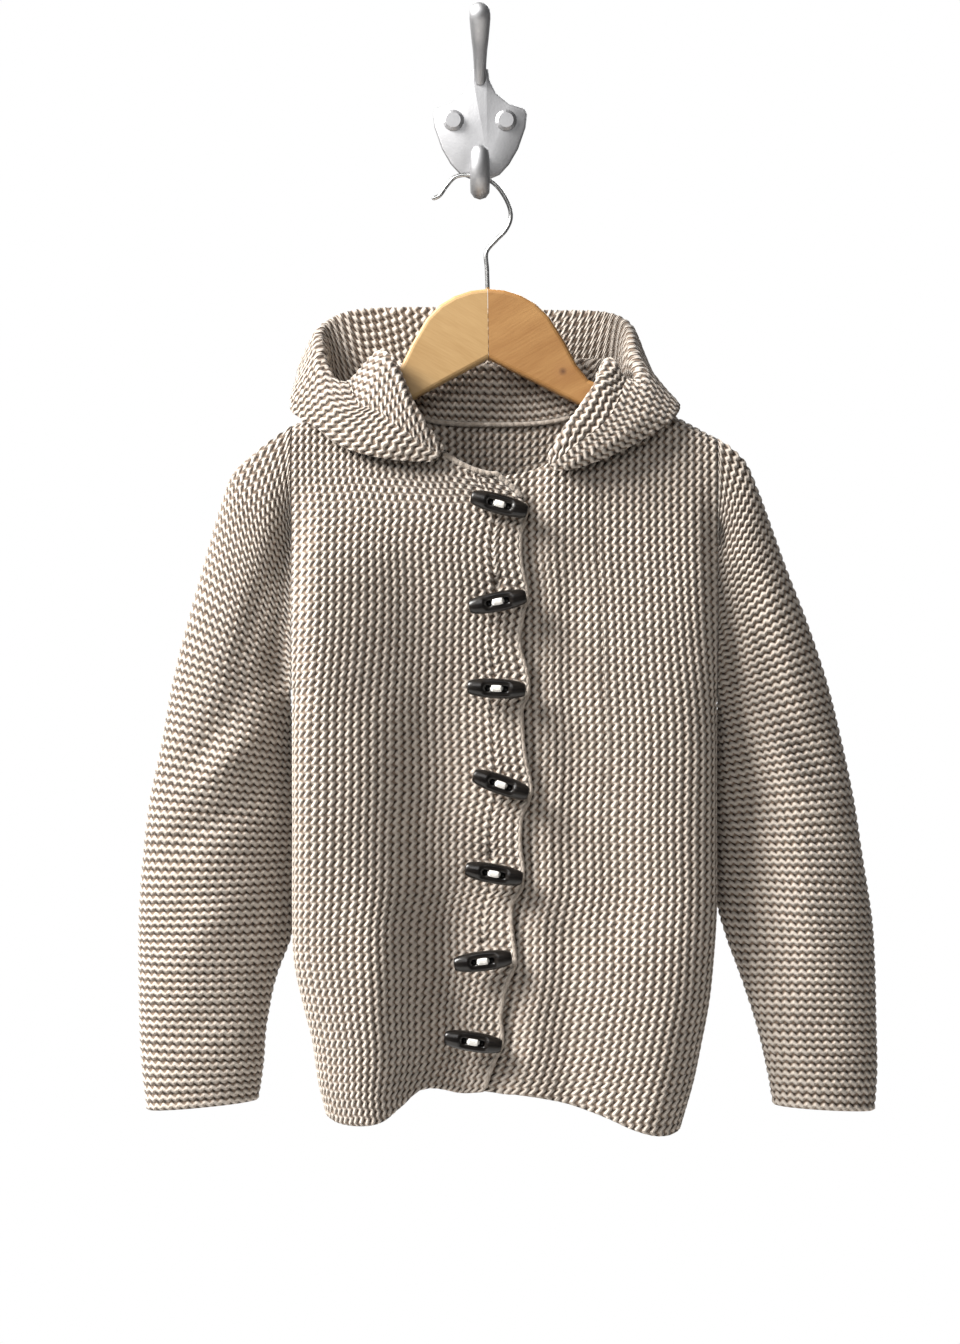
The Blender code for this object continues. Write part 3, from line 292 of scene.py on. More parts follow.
# Where the hood's surface is sampled between the guide points of a section: seam, roll (three points),
# valley (three), rim (three) and edge.
HOOD_SAMPLES = (0.0, 0.35, 0.7, 1.0, 1.5, 2.0, 2.5, 3.0, 3.3, 3.65, 4.0, 4.5, 5.0, 5.5, 6.0, 6.3, 6.65,
                7.0, 7.5, 8.0, 8.5, 9.0, 9.5, 10.0)
HOOD_COLUMNS = 47
HOOD_SPARE = 6.0            # added to each station's width when the columns are shared out
print("hood:", len(HOOD) - 1, "rows,", len(HOOD_SAMPLES), "places on each")

# %% [markdown]
# ## Where the toggles and the wire are
# Hand-sewn toggles never hang quite alike, so each has its own place and tilt.  The wire is one line of
# points that a curve runs through.

# %% Tables of the toggles and the wire
# The toggles, top to bottom: middle of each and its tilt, downwards to the viewer's right.
TOGGLES = (
    ("x", "z", "tilt"),
    (11.5, -239.4, 15.0),
    (10.5, -297.3, -11.0),
    (9.8, -348.8, 3.0),
    (12.4, -405.9, 19.0),
    (8.3, -459.0, 10.0),
    (1.7, -510.9, -7.0),
    (-4.1, -558.9, 9.0),
)
# The wire of the hanger, from the wood to its free end.
WIRE = (
    ("x", "z"),
    (4.6, -108.2),
    (4.2, -96.0),
    (3.9, -86.0),
    (9.5, -79.0),
    (15.3, -73.0),
    (18.4, -66.0),
    (17.6, -58.5),
    (12.2, -48.6),
    (6.3, -43.1),
    (-0.5, -40.4),
    (-7.8, -39.4),
    (-15.0, -40.8),
    (-20.5, -46.5),
    (-24.5, -52.0),
    (-29.0, -54.0),
)
print("toggles:", len(TOGGLES) - 1, "and", len(WIRE) - 1, "points on the wire")

# %% [markdown]
# ## Curves
# A table holds a few measured rows.  A smooth curve through them gives every place in between, and
# two easing shapes turn edges: a soft S and a round arch.

# %% Curves
def column(table, name):
    """One named column of a table, as an array."""
    at = table[0].index(name)
    return np.array([row[at] for row in table[1:]])


def read(table, key, value, at):
    """The value column read at places of the key column, by a smooth curve through the rows."""
    keys, values = column(table, key), column(table, value)
    order = np.argsort(keys)
    return smooth_through(keys[order], values[order], np.asarray(at, dtype=float))


def smooth_through(keys, values, at):
    """Cubic Hermite curve through (keys, values), its slopes the mean of the neighbouring chords."""
    chords = np.diff(values) / np.diff(keys)
    slopes = np.empty(len(keys))
    slopes[0], slopes[-1] = chords[0], chords[-1]
    slopes[1:-1] = 0.5 * (chords[1:] + chords[:-1])
    place = np.clip(at, keys[0], keys[-1])
    i = np.clip(np.searchsorted(keys, place) - 1, 0, len(keys) - 2)
    run = keys[i + 1] - keys[i]
    t = (place - keys[i]) / run
    return (
        (2 * t**3 - 3 * t**2 + 1) * values[i]
        + (t**3 - 2 * t**2 + t) * run * slopes[i]
        + (3 * t**2 - 2 * t**3) * values[i + 1]
        + (t**3 - t**2) * run * slopes[i + 1]
    )


def ease(t):
    """0 to 1 with level ends."""
    t = np.clip(t, 0.0, 1.0)
    return t * t * (3.0 - 2.0 * t)


def arch(t, power=2.0):
    """A round rise from 0 at t=0, upright there, to 1 at t=1, level there."""
    t = np.clip(t, 0.0, 1.0)
    return (1.0 - (1.0 - t) ** power) ** (1.0 / power)


print("at a half, the soft S is", float(ease(0.5)), "and the arch", round(float(arch(0.5)), 3))

# %% [markdown]
# ## Directions on a grid
# A wall gets its thickness along the directions that look out of its surface.  On a bent grid these
# jump from point to point, so they are averaged with their neighbours a few times.

# %% Directions
def unit(vectors):
    """Vectors of length one."""
    return vectors / np.maximum(np.linalg.norm(vectors, axis=-1, keepdims=True), 1e-9)


def evened(normals, passes):
    """Each normal of a grid becomes the unit vector of twice itself plus its four neighbours."""
    for _ in range(passes):
        padded = np.pad(normals, ((1, 1), (1, 1), (0, 0)), mode="edge")
        around = padded[:-2, 1:-1] + padded[2:, 1:-1] + padded[1:-1, :-2] + padded[1:-1, 2:]
        normals = unit(2.0 * normals + around)
    return normals


print("a diagonal of length one:", unit(np.array([1.0, 1.0, 0.0])).round(3))

# %% [markdown]
# ## The body's surface
# The front and the back are height fields over the hanger's plane: so far out at each height, closed
# at the sides, with the soft folds pushed out of them.

# %% The body's surface
def body_depth(x, z, full):
    """How far the cloth's outside stands off the hanger plane at (x, z), before the sides close."""
    below = read(SHOULDERS, "across", "height", x) - z
    return ARCH_DEPTH * arch(below / ARCH_DROP) + (full - ARCH_DEPTH) * ease(below / SWELL_DROP)


def body_side(x, z):
    """Closing factor at the sides (0 on the side seam, 1 in the body) and the side's shift in Y."""
    right, left = read(SIDES, "level", "right", z), read(SIDES, "level", "left", z)
    inward = np.minimum(x - right, left - x) / SIDE_ROLL
    roll = arch(inward, 2.2)
    armhole = arch((z - UNDERARM_Z) / (CREASE_TOP_Z - UNDERARM_Z))
    shift = SIDE_NOSE * (1.0 - np.clip(inward, 0.0, 1.0)) ** 2 * (1.0 - ease(armhole))
    return roll + armhole - roll * armhole, shift


def folds(x, z):
    """The fronts' soft folds: each row of FOLDS pushes the cloth out along its crest."""
    out = np.zeros(np.broadcast(x, z).shape)
    for _, top_x, top_z, foot_x, foot_z, width, push in FOLDS[1:]:
        along = (z - top_z) / (foot_z - top_z)
        crest = top_x + (foot_x - top_x) * np.clip(along, 0.0, 1.0)
        ends = ease(1.6 * along) * ease((1.35 - along) / 0.35)
        out = out + push * np.exp(-(((x - crest) / width) ** 2)) * ends
    return out


def front_y(x, z):
    """Outside of the fronts."""
    close, shift = body_side(x, z)
    return HANGER_Y + shift - (body_depth(x, z, FRONT_DEPTH) + folds(x, z) * close) * close


def back_y(x, z):
    """Outside of the back."""
    close, shift = body_side(x, z)
    return HANGER_Y + shift + body_depth(x, z, BACK_DEPTH) * close


print("chest stands", round(HANGER_Y - float(front_y(-40.0, -400.0)), 1), "mm in front of the hanger")

# %% [markdown]
# ## Tops, normals and seams
# Each panel ends on its neckline, a rounded dip, and beyond it on the shoulders' ridge.  The directions
# out of the cloth come from its slope, measured over a short step.

# %% Tops, normals and seams
def neckline(x, low, powers):
    """Height of a cut neckline: a rounded dip between the two neck points, low in the middle."""
    across = (x - NECK_CENTRE_X) / NECK_HALF
    power = np.where(across < 0.0, powers[0], powers[1])
    dip = arch(1.0 - np.abs(across), power)
    ends = (NECK_CENTRE_X - NECK_HALF, NECK_CENTRE_X + NECK_HALF)
    points = np.interp(x, ends, read(SHOULDERS, "across", "height", ends))
    return points + (low - points) * dip


def panel_top(x, low, powers):
    """Top of a panel: its neckline between the neck points, and the shoulder ridge beyond them."""
    ridge = read(SHOULDERS, "across", "height", x)
    inside = np.abs(x - NECK_CENTRE_X) < NECK_HALF
    return np.where(inside, np.minimum(neckline(x, low, powers), ridge), ridge)


def facing_out(face, x, z, facing):
    """Outward normals of a face y = face(x, z); facing is -1 on the fronts and 1 on the back."""
    slope_x = (face(x + PROBE, z) - face(x - PROBE, z)) / (2.0 * PROBE)
    slope_z = (face(x, z + PROBE) - face(x, z - PROBE)) / (2.0 * PROBE)
    return unit(facing * np.stack([-slope_x, np.ones_like(slope_x), -slope_z], axis=-1))


def seam_y(x, z):
    """The plane in which the fronts and the back meet."""
    return HANGER_Y + body_side(x, z)[1]


print("necklines dip to", FRONT_NECK_Z, "in front and", BACK_NECK_Z, "behind")

# %% [markdown]
# ## The garter stitch
# Garter stitch shows ridges, and each ridge is a yarn that swings left and right once a stitch, with a
# long slanting stroke and a short jump back.  One formula gives the line of the yarn: it bends the
# points of the grid here, and the material uses it again for the fine relief and the colour.

# %% The stitch
PITCH = 4.8                 # from one ridge to the next
STITCH = 5.1                # one full swing of the yarn along its ridge
LOBE = 0.18                 # how far the yarn swings, in ridges
LEAN = 0.3                  # how much longer the slanting stroke is than the jump
RELIEF = 1.1                # depth of the soft relief in the mesh
PER_RIDGE = 4               # grid lines for each ridge
PER_STITCH = 4              # and for each stitch


def ridge_phase(ridge):
    """Slow drift of the stitches from ridge to ridge: 0.10 sin(0.9 n) + 0.06 sin(2.3 n + 1)."""
    return 0.10 * np.sin(0.9 * ridge) + 0.06 * np.sin(2.3 * ridge + 1.0)


def ridge_height(u, v, ridge):
    """Soft height of one ridge: cos(pi a) squared, with a the distance from its swinging middle line."""
    turn = 2.0 * math.pi * (v + ridge_phase(ridge))
    middle = ridge + 0.5 + 0.8 * LOBE * np.sin(turn + LEAN * np.sin(turn))
    return np.cos(math.pi * np.clip(u - middle, -0.5, 0.5)) ** 2


def stitch_relief(u, v):
    """Soft relief of the knitting from 0 in the gaps to 1 on the ridges: the highest of the nearest three."""
    ridge = np.floor(u)
    return np.max([ridge_height(u, v, ridge + k) for k in (-1.0, 0.0, 1.0)], axis=0)


swatch = np.meshgrid(np.linspace(0, 9, 91), np.linspace(0, 9, 91))
print("mean relief of a swatch:", round(float(stitch_relief(*swatch).mean()), 2))

# %% [markdown]
# ## Along a grid and round its border
# Stitches are counted by the distance run along the cloth, and a free border is rounded like an edge
# of soft cloth.  Grids are numpy arrays, so no loop runs over points.

# %% Distances and rounding
def cumulative(points, axis):
    """Distance run along one direction of a grid of points."""
    steps = np.linalg.norm(np.diff(points, axis=axis), axis=-1)
    start = np.zeros_like(np.take(steps, [0], axis=axis))
    return np.cumsum(np.concatenate([start, steps], axis=axis), axis=axis)


def rounding(distance, radius=1.6):
    """Share of the half thickness that is cut off at this distance from a free border: a quarter circle."""
    near = np.clip(distance / radius, 0.0, 1.0)
    return 1.0 - np.sqrt(1.0 - (1.0 - near) ** 2)


print("right at a border,", float(rounding(0.0)), "of the half thickness is cut off")

# %% [markdown]
# ## A knitted shell
# Every cloth piece is a closed thin shell: a fine grid on one side, some of the same rows and columns
# on the other, since hidden cloth needs few, and fans of triangles along the borders.

# %% Shells
def border(rows, columns, row_count, column_count):
    """The border of a grid as one run: indices of its fine points, and which of them are kept."""
    runs, kept = [], []
    for side in range(4):
        at = np.arange(row_count if side % 2 else column_count)
        keep = np.isin(at, rows if side % 2 else columns)
        line = (at, at * column_count + column_count - 1, (row_count - 1) * column_count + at,
                at * column_count)[side]
        runs.append(line[:-1] if side < 2 else line[:0:-1])
        kept.append(keep[:-1] if side < 2 else keep[:0:-1])
    return np.concatenate(runs), np.concatenate(kept)


def shell(name, fine, coarse, rows, columns, fine_uv, coarse_uv, away):
    """A closed shell.  fine and coarse are grids of points in millimetres; of coarse only the given
    rows and columns are used.  away holds the directions in which the fine side looks out."""
    row_count, column_count = fine.shape[:2]
    number = np.arange(row_count * column_count).reshape(row_count, column_count)
    thin = np.full(row_count * column_count, -1)
    picked = number[np.ix_(rows, columns)]
    thin[picked.ravel()] = number.size + np.arange(picked.size)
    inner = thin[picked]
    quads = [np.stack([n[:-1, :-1], n[:-1, 1:], n[1:, 1:], n[1:, :-1]], axis=-1).reshape(-1, 4)
             for n in (number, inner)]
    quads[1] = quads[1][:, ::-1]
    line, kept = border(rows, columns, row_count, column_count)
    after = np.roll(line, -1)
    anchor = thin[line[kept]][np.cumsum(kept) - 1]
    fans = np.stack([after, line, anchor], axis=-1)
    corners = line[kept]
    closing = np.stack([np.roll(corners, -1), thin[corners], thin[np.roll(corners, -1)]], axis=-1)
    quads, triangles = np.concatenate(quads), np.concatenate([fans, closing])
    across = np.cross(fine[1:-1, 2:] - fine[1:-1, :-2], fine[2:, 1:-1] - fine[:-2, 1:-1])
    if float(np.sum(across * away[1:-1, 1:-1])) < 0.0:
        quads, triangles = quads[:, ::-1], triangles[:, ::-1]
    points = np.concatenate([fine.reshape(-1, 3), coarse[np.ix_(rows, columns)].reshape(-1, 3)]) * MM
    places = np.concatenate([fine_uv.reshape(-1, 2), coarse_uv[np.ix_(rows, columns)].reshape(-1, 2)])
    corner = np.concatenate([quads.ravel(), triangles.ravel()])
    starts = np.concatenate([np.arange(len(quads)) * 4, quads.size + np.arange(len(triangles)) * 3])
    mesh = bpy.data.meshes.new(name)
    mesh.vertices.add(len(points))
    mesh.vertices.foreach_set("co", points.astype(np.float32).ravel())
    mesh.loops.add(len(corner))
    mesh.loops.foreach_set("vertex_index", corner.astype(np.int32))
    mesh.polygons.add(len(starts))
    mesh.polygons.foreach_set("loop_start", starts.astype(np.int32))
    mesh.uv_layers.new(name="knit").uv.foreach_set("vector", places[corner].astype(np.float32).ravel())
    mesh.update(calc_edges=True)
    mesh.shade_smooth()
    made = bpy.data.objects.new(name, mesh)
    bpy.context.scene.collection.objects.link(made)
    print(name, "triangles:", len(quads) * 2 + len(triangles))
    return made


def every(count, step, fine=()):
    """Indices 0 .. count - 1 in steps, always with the first and the last, and all of some ranges."""
    picked = np.zeros(count, bool)
    picked[::step] = True
    picked[[0, -1]] = True
    for start, end in fine:
        picked[start:end] = True
    return np.flatnonzero(picked)


print("every fourth of ten:", every(10, 4))

# %% [markdown]
# ## Small helpers for nodes
# A material is a tree of nodes, and a formula in it takes many Math nodes.  A few helpers that take
# numbers or sockets alike keep such a formula as short as it would be on paper.

# %% Node helpers
def wire(tree, node, **sockets):
    """Sets or links a node's inputs, given by name."""
    for key, value in sockets.items():
        socket = node.inputs[key]
        if isinstance(value, bpy.types.NodeSocket):
            tree.links.new(value, socket)
        else:
            socket.default_value = value
    return node


def maths(tree, operation, *values, clamp=False):
    """One Math node on values that are numbers or sockets, and its output."""
    node = tree.nodes.new("ShaderNodeMath")
    node.operation = operation
    node.use_clamp = clamp
    for socket, value in zip(node.inputs, values):
        if isinstance(value, bpy.types.NodeSocket):
            tree.links.new(value, socket)
        else:
            socket.default_value = value
    return node.outputs[0]


def mixed(tree, factor, first, second):
    """A colour between two, each a socket or a colour."""
    node = tree.nodes.new("ShaderNodeMix")
    node.data_type = "RGBA"
    for index, value in ((0, factor), (6, first), (7, second)):
        if isinstance(value, bpy.types.NodeSocket):
            tree.links.new(value, node.inputs[index])
        else:
            node.inputs[index].default_value = value
    return node.outputs[2]


def noise(tree, vector, scale, detail=2.0):
    """The value of a noise texture at a vector."""
    node = tree.nodes.new("ShaderNodeTexNoise")
    tree.links.new(vector, node.inputs["Vector"])
    node.inputs["Scale"].default_value = scale
    node.inputs["Detail"].default_value = detail
    return node.outputs[0]


def new_material(name):
    """An empty node material, its Principled shader and its tree."""
    made = bpy.data.materials.new(name)
    made.use_nodes = True
    return made, made.node_tree.nodes["Principled BSDF"], made.node_tree


print("helpers:", ", ".join(helper.__name__ for helper in (wire, maths, mixed, noise, new_material)))

# %% [markdown]
# ## The stitch as nodes
# The stitch formula again, as a group of shader nodes that reads the UV map: U counts ridges and V
# counts stitches.  It gives the height of the round yarn, a mask of its core for the painted
# highlight, the soft layer under it, a mask of the small holes for the painted shade and a tone for
# each stitch.  Being exact at any distance, it needs no fine mesh.

# %% The stitch group
YARN_RADIUS = 0.30          # of the yarn, in ridges
PIT_ANGLE = 2.3             # where in a swing, as an angle, the small hole with painted shade beside the yarn lies
SWING = LOBE * 2.0 * math.pi    # the steepest slope of the yarn's line, before it leans


def stitch_group():
    """Group with the UV vector as input: height of the yarn, a mask of its core for the painted
    highlight, the height of the layer under it, a mask of the small holes for the painted shade and a
    tone for each stitch."""
    tree = bpy.data.node_groups.new("garter_stitch", "ShaderNodeTree")
    tree.interface.new_socket("UV", in_out="INPUT", socket_type="NodeSocketVector")
    for output in ("Yarn", "Highlight_core", "Under", "Hole_shade", "Tone"):
        tree.interface.new_socket(output, in_out="OUTPUT", socket_type="NodeSocketFloat")
    start, end = tree.nodes.new("NodeGroupInput"), tree.nodes.new("NodeGroupOutput")
    split = wire(tree, tree.nodes.new("ShaderNodeSeparateXYZ"), Vector=start.outputs[0])
    u, v = split.outputs[0], split.outputs[1]
    ridge = maths(tree, "FLOOR", u)
    drift = maths(tree, "MULTIPLY", maths(tree, "SINE", maths(tree, "MULTIPLY", ridge, 0.9)), 0.10)
    second = maths(tree, "SINE", maths(tree, "MULTIPLY_ADD", ridge, 2.3, 1.0))
    phase = maths(tree, "MULTIPLY_ADD", second, 0.06, drift)
    wobble = noise(tree, start.outputs[0], 0.7, 1.0)
    place = maths(tree, "ADD", maths(tree, "ADD", v, phase), maths(tree, "MULTIPLY_ADD", wobble, 0.24, -0.12))
    turn = maths(tree, "MULTIPLY", place, 2.0 * math.pi)
    bent = maths(tree, "MULTIPLY_ADD", maths(tree, "SINE", turn), LEAN, turn)
    lobe = maths(tree, "MULTIPLY", maths(tree, "SINE", bent), LOBE)
    quick = maths(tree, "MULTIPLY_ADD", maths(tree, "COSINE", turn), LEAN, 1.0)
    slope = maths(tree, "MULTIPLY", maths(tree, "MULTIPLY", maths(tree, "COSINE", bent), quick), SWING)
    length = maths(tree, "POWER", maths(tree, "MULTIPLY_ADD", slope, slope, 1.0), 0.3)
    inside = maths(tree, "SUBTRACT", maths(tree, "SUBTRACT", u, ridge), 0.5)
    across = maths(tree, "DIVIDE", maths(tree, "SUBTRACT", inside, lobe), length)
    share = maths(tree, "DIVIDE", across, YARN_RADIUS)
    round_top = maths(tree, "SUBTRACT", 1.0, maths(tree, "MULTIPLY", share, share), clamp=True)
    height = maths(tree, "SQRT", round_top)
    rise = maths(tree, "DIVIDE", slope, -SWING * (1.0 + LEAN))
    jump = maths(tree, "MULTIPLY_ADD", maths(tree, "MINIMUM", rise, 0.0), 0.6, 1.0)
    tree.links.new(maths(tree, "MULTIPLY", height, jump), end.inputs["Yarn"])
    thick = maths(tree, "POWER", height, 0.8)
    # Mask of the yarn's core, where the material paints a highlight.
    highlight_core = maths(tree, "MULTIPLY", maths(tree, "MULTIPLY_ADD", thick, 2.0, -1.0, clamp=True), jump)
    tree.links.new(highlight_core, end.inputs["Highlight_core"])
    soft = maths(tree, "SUBTRACT", inside, maths(tree, "MULTIPLY", lobe, 0.8))
    soft = maths(tree, "MULTIPLY", maths(tree, "MINIMUM", maths(tree, "ABSOLUTE", soft), 0.5), math.pi)
    cosine = maths(tree, "COSINE", soft)
    under = maths(tree, "MULTIPLY", cosine, cosine)
    tree.links.new(under, end.inputs["Under"])
    # Mask of the small holes beside the yarn, where the material paints near-black shade.
    near = maths(tree, "COSINE", maths(tree, "SUBTRACT", turn, PIT_ANGLE))
    near = maths(tree, "MULTIPLY_ADD", near, 0.5, 0.5)
    hole_shade = maths(tree, "MULTIPLY", maths(tree, "MULTIPLY", near, near), maths(tree, "SUBTRACT", 1.0, under))
    tree.links.new(hole_shade, end.inputs["Hole_shade"])
    stitch = maths(tree, "FLOOR", maths(tree, "ADD", place, 0.25))
    cell = wire(tree, tree.nodes.new("ShaderNodeCombineXYZ"), X=ridge, Y=stitch)
    white = wire(tree, tree.nodes.new("ShaderNodeTexWhiteNoise"), Vector=cell.outputs[0])
    tree.links.new(white.outputs["Value"], end.inputs["Tone"])
    return tree


STITCH_GROUP = stitch_group()
print("nodes in the stitch group:", len(STITCH_GROUP.nodes))

# %% [markdown]
# ## The knit material
# The colours paint the yarn's light and shade: a painted highlight on its back, painted shade along
# its sides, brown painted shade in the gaps, where little light gets in, and near-black painted shade
# in the small holes.  The group's masks mix these four colours, single stitches and larger patches
# differ a little in tone, and the bump rounds the yarn and adds its fuzz.

# %% The knit material
def knit_material(name, light, edge, gap, hole_shade, bump):
    """Knitted cotton: a painted highlight on the yarn's core, painted shade on its sides, brown painted
    shade in the gaps and near-black painted shade in the small holes, finely uneven in tone.
    """
    made, shader, tree = new_material(name)
    place = tree.nodes.new("ShaderNodeUVMap")
    place.uv_map = "knit"
    stitches = tree.nodes.new("ShaderNodeGroup")
    stitches.node_tree = STITCH_GROUP
    tree.links.new(place.outputs[0], stitches.inputs["UV"])
    here = tree.nodes.new("ShaderNodeTexCoord").outputs["Object"]
    fuzz = noise(tree, here, 1400.0, 3.0)
    patch = noise(tree, here, 14.0, 2.0)
    # Painted shade: brown in the gaps and near black in the small holes.
    gap_shade = mixed(tree, stitches.outputs["Hole_shade"], gap, hole_shade)
    # The edge colour is painted shade along the yarn's sides, and the light colour a painted highlight along
    # its core.
    colour = mixed(tree, maths(tree, "MULTIPLY", stitches.outputs["Yarn"], 1.8, clamp=True), gap_shade, edge)
    colour = mixed(tree, stitches.outputs["Highlight_core"], colour, light)
    tone = maths(tree, "MULTIPLY_ADD", stitches.outputs["Tone"], 0.16, 0.80)
    tone = maths(tree, "MULTIPLY_ADD", patch, 0.20, tone)
    tone = maths(tree, "MULTIPLY_ADD", fuzz, 0.20, maths(tree, "SUBTRACT", tone, 0.10))
    toned = tree.nodes.new("ShaderNodeVectorMath")
    toned.operation = "SCALE"
    tree.links.new(colour, toned.inputs[0])
    tree.links.new(tone, toned.inputs["Scale"])
    tree.links.new(toned.outputs[0], shader.inputs["Base Color"])
    relief = maths(tree, "MULTIPLY_ADD", stitches.outputs["Under"], 0.5, stitches.outputs["Yarn"])
    relief = maths(tree, "MULTIPLY_ADD", fuzz, 0.22, relief)
    raised = wire(tree, tree.nodes.new("ShaderNodeBump"), Height=relief, Distance=bump, Strength=1.0)
    tree.links.new(raised.outputs[0], shader.inputs["Normal"])
    shader.inputs["Roughness"].default_value = 0.86
    shader.inputs["Sheen Weight"].default_value = 0.25
    shader.inputs["Sheen Roughness"].default_value = 0.5
    shader.inputs["Specular IOR Level"].default_value = 0.2
    return made


# The four colours: painted highlight, painted shade on the yarn's sides, painted shade in the gaps and
# near-black painted shade in the holes.
KNIT = knit_material("knitted_cotton", (0.525, 0.466, 0.407, 1.0), (0.405, 0.345, 0.287, 1.0),
                     (0.19, 0.138, 0.101, 1.0), (0.02, 0.013, 0.009, 1.0), 0.0009)
print("knit material:", KNIT.name, "with", len(KNIT.node_tree.nodes), "nodes")

# %% [markdown]
# ## Sharing out the ridges
# On the two fronts and the back the ridges run up and down, and every ridge goes all the way from the
# hem to the shoulder.  So the columns are shared out evenly by distance along the cloth at each height,
# and they follow both edges.

# %% Sharing out the ridges
FINE_WIDTH = 500            # samples across a panel when its width is measured along the cloth
LEVELS = np.linspace(-625.0, -125.0, 101)
EVEN_LEVELS = 9             # levels above and below that even out the places of the ridges
TURN_ROWS = 14              # rows where the cloth turns over the hanger


def shares_at(edges, face, shares):
    """Where the given shares of the cloth's width lie, as fractions between the edges, for every level,
    evened out over the levels above and below."""
    across = np.linspace(0.0, 1.0, FINE_WIDTH)
    z = np.repeat(LEVELS[:, None], FINE_WIDTH, axis=1)
    x = edges(z, across[None, :])
    run = cumulative(np.stack([x, face(x, z), z], axis=-1), 1)
    table = np.array([np.interp(shares, line / line[-1], across) for line in run])
    padded = np.pad(table, ((EVEN_LEVELS, EVEN_LEVELS), (0, 0)), mode="edge")
    weights = np.hanning(2 * EVEN_LEVELS + 3)[1:-1]
    even = sum(w * padded[i:i + len(table)] for i, w in enumerate(weights / weights.sum()))
    return even, run[:, -1]


def fractions_at(table, z):
    """The table read at each point's height, column by column."""
    return np.stack([np.interp(z[:, i], LEVELS, table[:, i]) for i in range(z.shape[1])], axis=1)


def panel_rows(low, foot, top):
    """Heights of a panel's rows from the hem to its top, the last ones round the fold."""
    even = np.linspace(0.0, 1.0, low)[:, None]
    straight = foot + (top - ARCH_DROP - foot) * even
    turn = np.linspace(0.0, math.pi / 2.0, TURN_ROWS + 1)[1:, None]
    return np.concatenate([straight, top - ARCH_DROP * (1.0 - np.sin(turn))])


print("levels:", len(LEVELS), "from", LEVELS[0], "to", LEVELS[-1])

# %% [markdown]
# ## Creases
# The hanging cloth has many small creases that the solids leave out.  Each is a bell curve across a
# straight line, and it fades in and out softly at the line's ends, so that none starts with an edge.

# %% Creases
CREASE_FADE = 28.0          # at least this far round its ends a crease fades


def creases(x, z, table):
    """Sum over the rows of push times exp(-(aside / width) squared), faded at the ends; negative is a
    trough.  A row holds the line's top and foot as x and z, the width and the push."""
    out = np.zeros(np.broadcast(x, z).shape)
    for top_x, top_z, foot_x, foot_z, width, push in table:
        run_x, run_z = foot_x - top_x, foot_z - top_z
        length = math.hypot(run_x, run_z)
        along = ((x - top_x) * run_x + (z - top_z) * run_z) / length
        aside = ((x - top_x) * run_z - (z - top_z) * run_x) / length
        soft = min(max(width, CREASE_FADE), 0.5 * length + width)
        fade = ease((along + soft) / (2.0 * soft)) * (1.0 - ease((along - length + soft) / (2.0 * soft)))
        out = out + push * np.exp(-((aside / width) ** 2)) * fade
    return out


one_crease = ((0.0, 0.0, 0.0, -100.0, 10.0, 2.0),)
print("a crease of 2 mm, halfway:", round(float(creases(np.array(0.0), np.array(-50.0), one_crease)), 2))

# %% [markdown]
# ## One panel
# A panel is one grid of points between its two edges, pressed in by the relief of the stitches.  Along
# a join to its neighbour the relief levels out, and at a free edge the wall is rounded and gets extra
# lines.  The back is also seen from inside, through the neck, so its inner face is fine up there.

# %% One panel
EDGE_LINES = np.array([0.35, 0.8])   # extra lines lie this far in from a free edge
JOIN_WIDTH = 1.5            # the relief levels out this close to a join
JOIN_LEVEL = 0.7            # by this share
LEAST_WALL = 0.15           # the two faces of a wall stay at least this far apart
INSIDE_REACH = 70.0         # the back's inner face is in relief this far down from its top
INSIDE_RELIEF = 0.6
INSIDE_ROWS = 75


def panel_directions(face, x, z, facing, inside_neck):
    """Directions out of a panel, each laid into the plane of the join that it lies on."""
    away = facing_out(face, x, z, facing)
    for at in (0, -1):
        on_side = np.minimum(x[:, at] - read(SIDES, "level", "right", z[:, at]),
                             read(SIDES, "level", "left", z[:, at]) - x[:, at]) < 1.0
        away[on_side & (z[:, at] <= UNDERARM_Z), at, 1] = 0.0
        away[on_side & (z[:, at] > UNDERARM_Z), at, 0] = 0.0
    away[-1, ~inside_neck, 1] = 0.0
    return unit(away)


